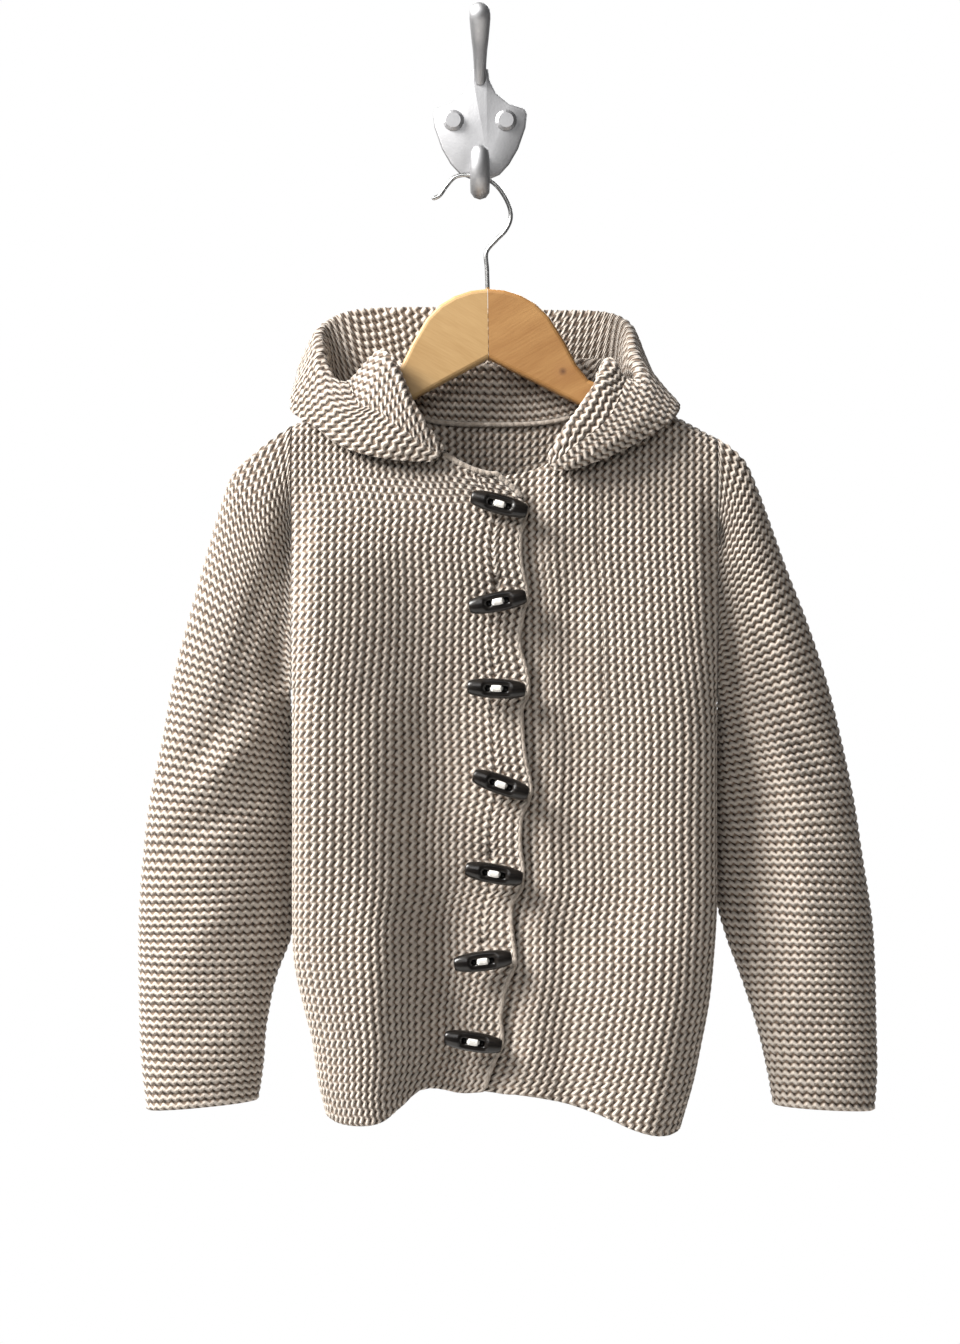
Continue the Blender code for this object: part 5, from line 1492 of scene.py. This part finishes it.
hood_near = shell("hood_near_knit", face, rear, every(len(grid), 6), every(grid.shape[1], 6), uv,
                  uv * (-1.0, 1.0), -out)
hood_near.data.materials.append(KNIT)
print("the near wall's face looks", "back" if out[20, grid.shape[1] // 2, 1] > 0 else "forward")

# %% [markdown]
# ## The far wall of the hood
# From the valley the far wall rises to the rim and turns over to the face edge, and its ridges stand
# up to the rim.  Its outside is seen from behind and its inside from the front, over the near wall, so
# both faces are in relief where they show.

# %% The far wall
FAR_RELIEF = 0.75

far_places = np.concatenate([np.linspace(VALLEY, 7.0, 140), np.linspace(7.0, 9.0, 14)[1:],
                             np.linspace(9.0, 10.0, 16)[1:]])
grid, out = hood_grid(far_places)
thick = hood_thickness(far_places)
run = cumulative(grid, 0)
rim_row = int(np.argmin(np.abs(far_places - RIM)))
u = np.repeat(cumulative(grid, 1)[rim_row][None, :], len(grid), axis=0) / PITCH
v = -run / STITCH
u = u + 0.08 * np.sin(v * 0.45)
height = stitch_relief(u, v)
cut = rounding(np.minimum(ends_round(grid), run[-1:] - run), HOOD_ROUNDING)
showing = np.maximum(ease((far_places[:, None] - 6.5) / 0.2), ease((60.0 - run[-1:]) / 20.0))
depth = thick * 0.5 * cut + FAR_RELIEF * (1.0 - height)
rear = grid - out * depth[..., None]
inward = thick * (1.0 - 0.5 * cut) - FAR_RELIEF * (1.0 - height) * showing
face = grid - out * np.maximum(inward, depth + LEAST_WALL)[..., None]
uv = np.stack([u, v], axis=-1)
far_rows = every(len(grid), 7, ((int(np.searchsorted(far_places, 6.5)), len(grid)),))
hood_far = shell("hood_far_knit", rear, face, far_rows, every(grid.shape[1], 1), uv * (-1.0, 1.0), uv, out)
hood_far.data.materials.append(KNIT)
print("rows of the far wall whose inside shows:", len(grid) - int(np.searchsorted(far_places, 6.5)))

# %% [markdown]
# ## Tubes
# Cord-like pieces are tubes: a circle carried along a path.  The last column of the grid is welded to
# the first and both ends are closed, so that the mesh is watertight.

# %% Tubes
def tube_grid(path, radii, around, slant=None):
    """Points of a tube round a path: radius by row and, with slant, by place round the tube."""
    ways = unit(np.gradient(path, axis=0))
    axis = np.array([0.0, 1.0, 0.0])
    side = unit(np.cross(ways, axis))
    up = np.cross(side, ways)
    turn = np.linspace(0.0, 2.0 * math.pi, around + 1)[None, :, None]
    radius = radii[:, None] if slant is None else slant(radii, turn[..., 0])
    return path[:, None] + radius[..., None] * (side[:, None] * np.cos(turn) + up[:, None] * np.sin(turn))


def grid_mesh(name, points, uv_name="along", caps=True):
    """A smooth mesh from a grid of points in millimetres, its last column welded to the first."""
    rows, columns = points.shape[0], points.shape[1] - 1
    number = np.arange(rows * columns).reshape(rows, columns)
    ahead = np.roll(number, -1, axis=1)
    quads = np.stack([number[:-1], ahead[:-1], ahead[1:], number[1:]], axis=-1).reshape(-1, 4)
    mesh = bpy.data.meshes.new(name)
    ends = [number[0][::-1].tolist(), number[-1].tolist()] if caps else []
    mesh.from_pydata((points[:, :-1].reshape(-1, 3) * MM).tolist(), [], quads.tolist() + ends)
    along = np.linspace(0.0, 1.0, rows)[:, None] * np.ones((1, columns + 1))
    round_it = np.linspace(0.0, 1.0, columns + 1)[None, :] * np.ones((rows, 1))
    place = np.stack([along, round_it], axis=-1)
    loops = np.stack([place[:-1, :-1], place[:-1, 1:], place[1:, 1:], place[1:, :-1]], axis=2).reshape(-1, 2)
    if caps:
        loops = np.concatenate([loops, place[0, :-1][::-1], place[-1, :-1]])
    mesh.uv_layers.new(name=uv_name).uv.foreach_set("vector", loops.astype(np.float32).ravel())
    mesh.validate()
    mesh.shade_smooth()
    made = bpy.data.objects.new(name, mesh)
    bpy.context.scene.collection.objects.link(made)
    return made


post = tube_grid(np.array([[0.0, 0.0, 0.0], [0.0, 0.0, 5.0], [0.0, 0.0, 10.0]]), np.full(3, 2.0), 8)
print("a short post as a grid:", post.shape)

# %% [markdown]
# ## Chains of yarn
# A cast-off edge is a chain of loops, one lying in the next.  The neckline and the right front's free
# edge end in one, and the neck seam shows inside as the same kind of chain.  Each is a tube whose radius
# swells once a loop and whose swellings slant, so it reads as plaited yarn.

# %% Chains
def chain(name, path, radius, loop, step=0.45, around=16):
    """A cast-off chain: the tube's radius is r (0.66 + 0.34 sqrt|sin(pi (s / loop + turn / 4 pi))|)."""
    line = through(path, np.linspace(0.0, len(path) - 1.0, 4 * len(path)))
    run = np.concatenate([[0.0], np.cumsum(np.linalg.norm(np.diff(line, axis=0), axis=1))])
    count = int(run[-1] / step)
    even = np.linspace(0.0, run[-1], count)
    line = np.stack([np.interp(even, run, line[:, i]) for i in range(3)], axis=1)

    def slant(radii, turn):
        """The radius along and round the chain; the loops differ a little in length."""
        uneven = 0.12 * np.sin(even[:, None])
        beads = np.abs(np.sin(math.pi * (even[:, None] / loop + turn / (4.0 * math.pi) + uneven)))
        return radii[:, None] * (0.66 + 0.34 * np.sqrt(beads))

    ends = np.clip(np.minimum(even, even[-1] - even) / radius, 0.05, 1.0)
    points = tube_grid(line, radius * np.sqrt(1.0 - (1.0 - ends) ** 2 + 0.002), around, slant)
    return grid_mesh(name, points)


def yarn_material(name, colour, dark):
    """Loose yarn: the light tone, darker by patches, and a fibrous fine bump."""
    made, shader, tree = new_material(name)
    here = tree.nodes.new("ShaderNodeTexCoord").outputs["Object"]
    fibre = noise(tree, here, 1500.0, 3.0)
    patch = maths(tree, "MULTIPLY_ADD", noise(tree, here, 260.0, 2.0), 1.6, -0.35, clamp=True)
    tree.links.new(mixed(tree, patch, dark, colour), shader.inputs["Base Color"])
    raised = wire(tree, tree.nodes.new("ShaderNodeBump"), Height=fibre, Distance=0.0006, Strength=0.8)
    tree.links.new(raised.outputs[0], shader.inputs["Normal"])
    shader.inputs["Roughness"].default_value = 0.88
    shader.inputs["Sheen Weight"].default_value = 0.25
    return made


YARN = yarn_material("loose_yarn", (0.50, 0.44, 0.38, 1.0), (0.22, 0.175, 0.135, 1.0))
# Along the front neckline and down its rounded corner.
across = np.linspace(-22.0, 10.0, 9)
edge_z = neckline(across, FRONT_NECK_Z, NECK_POWERS)
neck_line = np.stack([across, front_y(across, edge_z) + 0.4, edge_z + 0.2], axis=1)
corner_z = np.array([-226.0, -231.0, -236.0])
corner_x = read(FREE_EDGE, "level", "across", corner_z)
corner = np.stack([corner_x, front_y(corner_x, corner_z) + 0.4, corner_z + 1.0], axis=1)
neck_chain = chain("neck_edge_chain", np.concatenate([neck_line, corner]), 1.75, 4.3)
neck_chain.data.materials.append(YARN)
# Down the scalloped free edge.
edge_level = np.linspace(-238.0, -588.0, 80)
edge_x = read(SHOWN_EDGE, "level", "across", edge_level)
edge_y = front_y(edge_x, edge_level) - creases(edge_x, edge_level, FRONT_CREASES)
edge_line = np.stack([edge_x - 0.7, edge_y + 1.35, edge_level], axis=1)
free_edge = chain("free_edge_chain", edge_line, 1.3, STITCH, 0.7, 12)
free_edge.data.materials.append(YARN)
# Inside the neck, along the seam of the hood.
across = np.linspace(-36.0, 55.0, 15)
seam_z = neckline(across, BACK_NECK_Z, (BACK_NECK_POWER, BACK_NECK_POWER))
seam_line = np.stack([across, back_y(across, seam_z) - CLOTH - 0.2, seam_z - 0.6], axis=1)
seam_chain = chain("back_neck_seam_chain", seam_line, 1.7, 4.6)
seam_chain.data.materials.append(YARN)
print("chains:", ", ".join(made.name for made in (neck_chain, free_edge, seam_chain)))

# %% [markdown]
# ## The toggles
# Each toggle is a tapered horn barrel with a flat on its front.  Two holes go through the flat, and a
# bar of white thread lies between them.  The barrel is a grid round its length: radius and flat come
# from formulas, and the holes are deep steep pits.

# %% Barrels and thread
STATIONS, AROUND = 85, 56   # rows along a barrel and columns round it
HOLE_PLACE, HOLE_RADIUS, HOLE_DEPTH = 5.2, 1.75, 4.6
THREAD_HALF, THREAD_WIDTH, STRANDS = 3.0, 4.0, 4    # half its length, its width, threads side by side


def placed(x, z, tilt, along, side, out):
    """Points given along, across and out of a toggle, brought to its place on the front."""
    lean = math.radians(tilt)
    reach = np.linspace(-0.5, 0.5, 11) * TOGGLE_LENGTH
    under_x, under_z = x + reach * math.cos(lean), z - reach * math.sin(lean)
    nearest = float(np.min(front_y(under_x, under_z) - creases(under_x, under_z, FRONT_CREASES)))
    level = nearest - TOGGLE_DEPTH / 2.0 - SEAM
    return np.stack([x + along * math.cos(lean) + side * math.sin(lean),
                     level - out,
                     z - along * math.sin(lean) + side * math.cos(lean)], axis=-1)


def barrel(x, z, tilt):
    """Points of one barrel: half width w(a) = W/2 (e + (1 - e) sqrt(1 - |a|^p)), with the flat and the
    holes pressed in."""
    a = np.sin(np.linspace(-0.5, 0.5, STATIONS) * math.pi)
    a = np.sign(a) * np.abs(a) ** 0.9
    taper = TOGGLE_END + (1.0 - TOGGLE_END) * np.sqrt(np.clip(1.0 - np.abs(a) ** TOGGLE_TAPER, 0.0, 1.0))
    blunt = np.clip((1.0 - np.abs(a)) / 0.025, 0.0, 1.0) ** 0.5
    taper = (taper * (0.15 + 0.85 * blunt))[:, None]
    turn = np.linspace(0.0, 2.0 * math.pi, AROUND + 1)[None, :]
    side = 0.5 * TOGGLE_WIDTH * taper * np.cos(turn)
    out = 0.5 * TOGGLE_DEPTH * taper * np.sin(turn)
    along = a[:, None] * TOGGLE_LENGTH / 2.0 + 0.0 * turn
    flat = FLAT_LEVEL * TOGGLE_DEPTH
    dish = ease((FLAT_HALF * TOGGLE_LENGTH / 2.0 + 3.4 - np.abs(along)) / 2.6)
    out = np.where(out > flat, flat + (out - flat) * (1.0 - dish), out)
    facing = out > 0.0
    for sign in (-1.0, 1.0):
        away = np.hypot(along - sign * HOLE_PLACE, side)
        out = out - facing * HOLE_DEPTH * ease((HOLE_RADIUS + 0.25 - away) / 0.5)
    return placed(x, z, tilt, along, side, out)


def thread(x, z, tilt):
    """Points of the bar of thread: strands side by side that dip into the holes at both ends."""
    along = np.linspace(-THREAD_HALF - 0.9, THREAD_HALF + 0.9, 27)[:, None]
    turn = np.linspace(0.0, 2.0 * math.pi, 49)[None, :]
    lobes = 1.0 + 0.12 * np.abs(np.sin(turn * STRANDS))
    side = 0.5 * THREAD_WIDTH * np.cos(turn) * (1.0 - 0.10 * (along / THREAD_HALF) ** 2)
    dip = 2.6 * ease((np.abs(along) - THREAD_HALF + 0.5) / 1.4)
    out = FLAT_LEVEL * TOGGLE_DEPTH + 0.35 + 0.75 * np.sin(turn) * lobes - dip
    return placed(x, z, tilt, along + 0.0 * turn, side, out + 0.0 * along)


print("points of a barrel:", barrel(*TOGGLES[1]).shape[:2])
print("points of its thread:", thread(*TOGGLES[1]).shape[:2])

# %% [markdown]
# ## Horn and thread
# Horn is nearly black here, with faint streaks along the barrel and a clear polish that is a little
# scuffed.  The streaks follow the barrel's own UV map, so each toggle's run along it at any tilt.  The
# thread is white cotton with fine fibres.

# %% Horn and thread
def horn_material():
    """Dark polished horn: nearly black, with brown-grey streaks along the barrel and a clear polish."""
    made, shader, tree = new_material("dark_horn")
    place = tree.nodes.new("ShaderNodeUVMap")
    place.uv_map = "along"
    long = tree.nodes.new("ShaderNodeVectorMath")
    long.operation = "MULTIPLY"
    tree.links.new(place.outputs[0], long.inputs[0])
    long.inputs[1].default_value = (1.6, 9.0, 1.0)
    streak = maths(tree, "MULTIPLY_ADD", noise(tree, long.outputs[0], 3.0, 4.0), 2.4, -0.95, clamp=True)
    here = tree.nodes.new("ShaderNodeTexCoord").outputs["Object"]
    patch = noise(tree, here, 60.0, 2.0)
    share = maths(tree, "MULTIPLY", streak, patch)
    tree.links.new(mixed(tree, share, (0.004, 0.003, 0.0027, 1.0), (0.036, 0.029, 0.023, 1.0)),
                   shader.inputs["Base Color"])
    tree.links.new(maths(tree, "MULTIPLY_ADD", patch, 0.22, 0.20), shader.inputs["Roughness"])
    scratches = noise(tree, here, 900.0, 2.0)
    scuff = wire(tree, tree.nodes.new("ShaderNodeBump"), Height=scratches, Distance=0.0002, Strength=0.35)
    tree.links.new(scuff.outputs[0], shader.inputs["Normal"])
    shader.inputs["Specular IOR Level"].default_value = 0.3
    shader.inputs["Coat Weight"].default_value = 0.12
    shader.inputs["Coat Roughness"].default_value = 0.2
    return made


def thread_material():
    """White cotton thread: fine fibres across the strands."""
    made, shader, tree = new_material("white_thread")
    here = tree.nodes.new("ShaderNodeTexCoord").outputs["Object"]
    fibre = noise(tree, here, 1800.0, 2.0)
    colour = mixed(tree, fibre, (0.66, 0.63, 0.58, 1.0), (0.86, 0.84, 0.80, 1.0))
    tree.links.new(colour, shader.inputs["Base Color"])
    raised = wire(tree, tree.nodes.new("ShaderNodeBump"), Height=fibre, Distance=0.0004, Strength=0.7)
    tree.links.new(raised.outputs[0], shader.inputs["Normal"])
    shader.inputs["Roughness"].default_value = 0.8
    return made


HORN, THREAD = horn_material(), thread_material()
toggles, threads = [], []
for index, (x, z, tilt) in enumerate(TOGGLES[1:], start=1):
    toggles.append(grid_mesh("toggle_%d_horn" % index, barrel(x, z, tilt)))
    toggles[-1].data.materials.append(HORN)
    threads.append(grid_mesh("toggle_%d_thread" % index, thread(x, z, tilt)))
    threads[-1].data.materials.append(THREAD)
print("toggles:", len(toggles))

# %% [markdown]
# ## The hanger's wood
# The two arms keep their solids and get a waxed hardwood with fine grain along each arm.  The halves
# come from two boards, the wearer's right one paler and the left one more orange, with one small knot.

# %% Wood
def wood_material(name, pale, dark, lean, knot=None):
    """Waxed hardwood: grain is stretched noise along the arm, fine pores, and one small knot."""
    made, shader, tree = new_material(name)
    here = tree.nodes.new("ShaderNodeTexCoord").outputs["Object"]
    turned = tree.nodes.new("ShaderNodeVectorRotate")
    turned.rotation_type = "Y_AXIS"
    turned.inputs["Angle"].default_value = lean
    tree.links.new(here, turned.inputs["Vector"])
    stretched = tree.nodes.new("ShaderNodeVectorMath")
    stretched.operation = "MULTIPLY"
    tree.links.new(turned.outputs[0], stretched.inputs[0])
    stretched.inputs[1].default_value = (0.10, 0.6, 1.0)
    broad = noise(tree, stretched.outputs[0], 90.0, 3.0)
    fine = noise(tree, stretched.outputs[0], 900.0, 3.0)
    cloudy = noise(tree, here, 18.0, 2.0)
    grain = maths(tree, "MULTIPLY_ADD", maths(tree, "SUBTRACT", fine, 0.5), 0.55, broad)
    grain = maths(tree, "MULTIPLY_ADD", cloudy, 0.6, grain)
    share = maths(tree, "MULTIPLY_ADD", grain, 1.7, -0.95, clamp=True)
    colour = mixed(tree, share, dark, pale)
    if knot:
        near = tree.nodes.new("ShaderNodeVectorMath")
        near.operation = "DISTANCE"
        tree.links.new(here, near.inputs[0])
        near.inputs[1].default_value = knot
        eye, halo = (
            maths(tree, "SUBTRACT", 1.0, maths(tree, "DIVIDE", near.outputs["Value"], radius), clamp=True)
            for radius in (0.0030, 0.0085))
        colour = mixed(tree, maths(tree, "MULTIPLY", halo, 0.55), colour, (0.33, 0.155, 0.055, 1.0))
        colour = mixed(tree, eye, colour, (0.11, 0.045, 0.018, 1.0))
    tree.links.new(colour, shader.inputs["Base Color"])
    raised = wire(tree, tree.nodes.new("ShaderNodeBump"), Height=fine, Distance=0.0002, Strength=0.35)
    tree.links.new(raised.outputs[0], shader.inputs["Normal"])
    tree.links.new(maths(tree, "MULTIPLY_ADD", broad, 0.15, 0.38), shader.inputs["Roughness"])
    return made


LIGHT_WOOD = wood_material("hanger_wood_pale", (0.50, 0.325, 0.145, 1.0), (0.39, 0.232, 0.090, 1.0),
                           math.radians(-30.0))
WARM_WOOD = wood_material("hanger_wood_orange", (0.41, 0.218, 0.073, 1.0), (0.30, 0.140, 0.040, 1.0),
                          math.radians(30.0), (0.0498, -0.048, -0.1584))
print("woods:", LIGHT_WOOD.name, "and", WARM_WOOD.name)

# %% [markdown]
# ## Cast metal and steel wire
# The wall hook is cast in a light grey metal: satin, cloudy and finely pitted.  The hanger's wire is
# drawn steel, smoother and brighter.  One function makes both, with other depths and roughness.

# %% Metal
def metal_material(name, colour, worn, roughness, depth):
    """Metal that is cloudy and, if cast, finely pitted: two noises, the fine one also in the bump."""
    made, shader, tree = new_material(name)
    here = tree.nodes.new("ShaderNodeTexCoord").outputs["Object"]
    cloudy = maths(tree, "MULTIPLY_ADD", noise(tree, here, 70.0, 3.0), 1.6, -0.3, clamp=True)
    pits = noise(tree, here, 900.0, 3.0)
    tree.links.new(mixed(tree, cloudy, colour, worn), shader.inputs["Base Color"])
    tree.links.new(maths(tree, "MULTIPLY_ADD", pits, 0.2, roughness), shader.inputs["Roughness"])
    raised = wire(tree, tree.nodes.new("ShaderNodeBump"), Height=pits, Distance=depth, Strength=0.6)
    tree.links.new(raised.outputs[0], shader.inputs["Normal"])
    shader.inputs["Metallic"].default_value = 1.0
    return made


CAST = metal_material("cast_grey_metal", (0.54, 0.54, 0.55, 1.0), (0.42, 0.42, 0.43, 1.0), 0.46, 0.00012)
STEEL = metal_material("drawn_steel", (0.66, 0.66, 0.65, 1.0), (0.50, 0.50, 0.49, 1.0), 0.18, 0.00005)
for node, finish_of in (("hanger_arm_right", LIGHT_WOOD), ("hanger_arm_left", WARM_WOOD),
                        ("wall_hook", CAST), ("wall_screw_1", CAST), ("wall_screw_2", CAST)):
    for material_slot in frame["nodes"][node].material_slots:
        material_slot.material = finish_of
print("metals:", CAST.name, "and", STEEL.name)

# %% [markdown]
# ## The cast hook
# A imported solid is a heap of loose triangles, which shade flat.  A casting has soft edges, so the wall
# hook gets a copy of its triangles with equal corners merged: it shades smoothly, except where two
# faces meet at a sharp angle.

# %% The cast hook
SHARPEST = math.radians(40.0)   # edges turned by more than this stay sharp


def merged_copy(name, node, finish):
    """The node's own triangles with corners at the same place made one, shaded smoothly."""
    source = node.data
    corners = np.empty(len(source.vertices) * 3)
    source.vertices.foreach_get("co", corners)
    order = np.empty(len(source.loops), dtype=np.int32)
    source.loops.foreach_get("vertex_index", order)
    places, same = np.unique(np.round(corners.reshape(-1, 3), 6), axis=0, return_inverse=True)
    faces = same.reshape(-1)[order].reshape(-1, 3)
    faces = faces[(faces != np.roll(faces, 1, axis=1)).all(axis=1)]
    mesh = bpy.data.meshes.new(name)
    mesh.from_pydata(places.tolist(), [], faces.tolist())
    mesh.shade_smooth()
    mesh.set_sharp_from_angle(angle=SHARPEST)
    mesh.materials.append(finish)
    made = bpy.data.objects.new(name, mesh)
    bpy.context.scene.collection.objects.link(made)
    print(name, "corners:", len(source.vertices), "merged to", len(places))
    return made


cast_hook = merged_copy("cast_wall_hook", frame["nodes"]["wall_hook"], CAST)

# %% [markdown]
# ## The hanger's wire
# The wire is drawn again as a smooth tube through its points.  Its free end is rounded: the radius
# shrinks there as a circle does.

# %% The wire
rows = [(x, HANGER_Y, z) for x, z in WIRE[1:]]
line = through(rows, np.linspace(0.0, len(rows) - 1.0, 150))
run = cumulative(line[:, None], 0)[:, 0]
tip = np.clip((run[-1] - run) / WIRE_RADIUS, 0.0, 1.0)
radii = WIRE_RADIUS * np.sqrt(1.0 - (1.0 - tip) ** 2 + 0.003)
hook_wire = grid_mesh("hanger_wire", tube_grid(line, radii, 18))
hook_wire.data.materials.append(STEEL)
print("the wire is", round(float(run[-1])), "mm long from the wood to its end")

# %% [markdown]
# ## What each piece stands for
# Every piece rides on the one body and hides the solids that it stands for, and the edge chains that
# belong to a cloth piece ride on the body with it.  The table also holds the size of the cloth that
# each piece was worked from, all round on a sleeve, and what it rests on.

# %% Places and cloth
# Each row: piece, its solids, the rectangle that its cloth is cut from and the cloth's own area in
# metres, what it rests on and the pieces that go with it.
CLOTHS = (
    (front_right, ("front_right",), (0.150, 0.415), 0.0560, ("hanger_arm_right",), (neck_chain, free_edge)),
    (front_left, ("front_left",), (0.170, 0.415), 0.0630, ("hanger_arm_left",), ()),
    (back, ("back",), (0.275, 0.475), 0.1130, ("hanger_arm_right", "hanger_arm_left"), (seam_chain,)),
    (sleeve_right, ("sleeve_right",), (0.330, 0.420), 0.0700, ("front_right_knit",), ()),
    (sleeve_left, ("sleeve_left",), (0.330, 0.420), 0.0680, ("front_left_knit",), ()),
    (hood_near, ("hood",), (0.400, 0.195), 0.0330, ("back_knit",), ()),
    (hood_far, ("hood",), (0.460, 0.220), 0.0420, ("hood_near_knit",), ()),
)
for piece, nodes, flat, area, rests_on, with_pieces in CLOTHS:
    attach(piece, "root")
    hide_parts(*nodes)
    for extra in with_pieces:
        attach(extra, "root")
for index, (toggle, bar) in enumerate(zip(toggles, threads), start=1):
    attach(toggle, "root")
    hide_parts("toggle_%d" % index)
    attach(bar, "root")
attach(hook_wire, "root")
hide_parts("hanger_hook")
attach(cast_hook, "root")
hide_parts("wall_hook")
print("cloth stated:", round(sum(row[3] for row in CLOTHS), 3), "square metres")

# %% [markdown]
# ## Camera
# The camera looks straight along +Y with a long lens, which keeps the sleeves from leaning.  It stands
# so far off that the picture's height spans 806 mm at the cloth.

# %% Camera
PICTURE_HEIGHT, LENS, SENSOR = 0.8064, 85.0, 36.0   # in metres, and the lens and sensor in millimetres
CLOTH_Y, PICTURE_MIDDLE_Z = -0.05, -0.339
bpy.context.scene.view_settings.view_transform = "Standard"
camera = bpy.data.objects.new("camera", bpy.data.cameras.new("camera"))
camera.data.lens, camera.data.sensor_width = LENS, SENSOR
camera.location = (0.0, CLOTH_Y - PICTURE_HEIGHT * LENS / SENSOR, PICTURE_MIDDLE_Z)
camera.rotation_euler = (math.radians(90.0), 0.0, 0.0)
bpy.context.scene.collection.objects.link(camera)
bpy.context.scene.camera = camera
print("camera stands", round(-camera.location.y, 2), "m in front of the wall")

# %% [markdown]
# ## Light
# One large lamp from the upper left, almost beside the cloth, draws out the relief of the knitting and
# the folds.  A weak lamp in front keeps the shades open and one behind lights the back.  The world is
# seen as white but lights only a little, and a small pale floor lies far below, so that the valleys of
# the cloth stay dark.

# %% Lamps
def lamp(name, place, target, size, power, colour=(1.0, 1.0, 1.0)):
    """A square area lamp at a place, turned to a target, in metres and watts."""
    light = bpy.data.lights.new(name, "AREA")
    light.size, light.energy, light.color = size, power, colour
    made = bpy.data.objects.new(name, light)
    made.location = place
    made.rotation_euler = (Vector(target) - Vector(place)).to_track_quat("-Z", "Y").to_euler()
    bpy.context.scene.collection.objects.link(made)
    return made


lamp("key", (-1.86, -0.68, 1.20), (0.0, -0.05, -0.35), 1.15, 222.0, (1.0, 0.985, 0.965))
lamp("fill", (-0.5, -2.2, 1.0), (0.0, -0.05, -0.25), 1.2, 20.0)
lamp("behind", (0.6, 1.6, 0.9), (0.0, 0.0, -0.3), 1.2, 24.0)
print("lamps: one large at the upper left, a weak one in front and one behind")

# %% [markdown]
# ## Floor and world
# The floor catches a soft shade under the jacket and sends back a little light.  The Light Path node
# tells what the camera sees from what lights the cloth, so that the background can be full white.

# %% Floor and world
SKY_LIGHT = 0.12            # the world's light, against 1 where it is seen as the background
FLOOR_Z, FLOOR_HALF, FLOOR_NEAR, FLOOR_FAR = -1.3, 1.2, -1.1, 0.6

floor_mesh = bpy.data.meshes.new("floor")
floor_corners = [(-FLOOR_HALF, FLOOR_NEAR, FLOOR_Z), (FLOOR_HALF, FLOOR_NEAR, FLOOR_Z),
                 (FLOOR_HALF, FLOOR_FAR, FLOOR_Z), (-FLOOR_HALF, FLOOR_FAR, FLOOR_Z)]
floor_mesh.from_pydata(floor_corners, [], [(0, 1, 2, 3)])
floor = bpy.data.objects.new("floor", floor_mesh)
bpy.context.scene.collection.objects.link(floor)
pale, pale_shader, _ = new_material("pale_floor")
pale_shader.inputs["Base Color"].default_value = (0.82, 0.81, 0.79, 1.0)
pale_shader.inputs["Roughness"].default_value = 0.8
floor_mesh.materials.append(pale)
world = bpy.data.worlds.new("soft_white")
world.use_nodes = True
sky = world.node_tree.nodes["Background"]
sky.inputs["Color"].default_value = (1.0, 1.0, 1.0, 1.0)
seen = world.node_tree.nodes.new("ShaderNodeLightPath").outputs["Is Camera Ray"]
world.node_tree.links.new(maths(world.node_tree, "MULTIPLY_ADD", seen, 1.0 - SKY_LIGHT, SKY_LIGHT),
                          sky.inputs["Strength"])
bpy.context.scene.world = world
print("floor at", FLOOR_Z, "m, sky light", SKY_LIGHT)
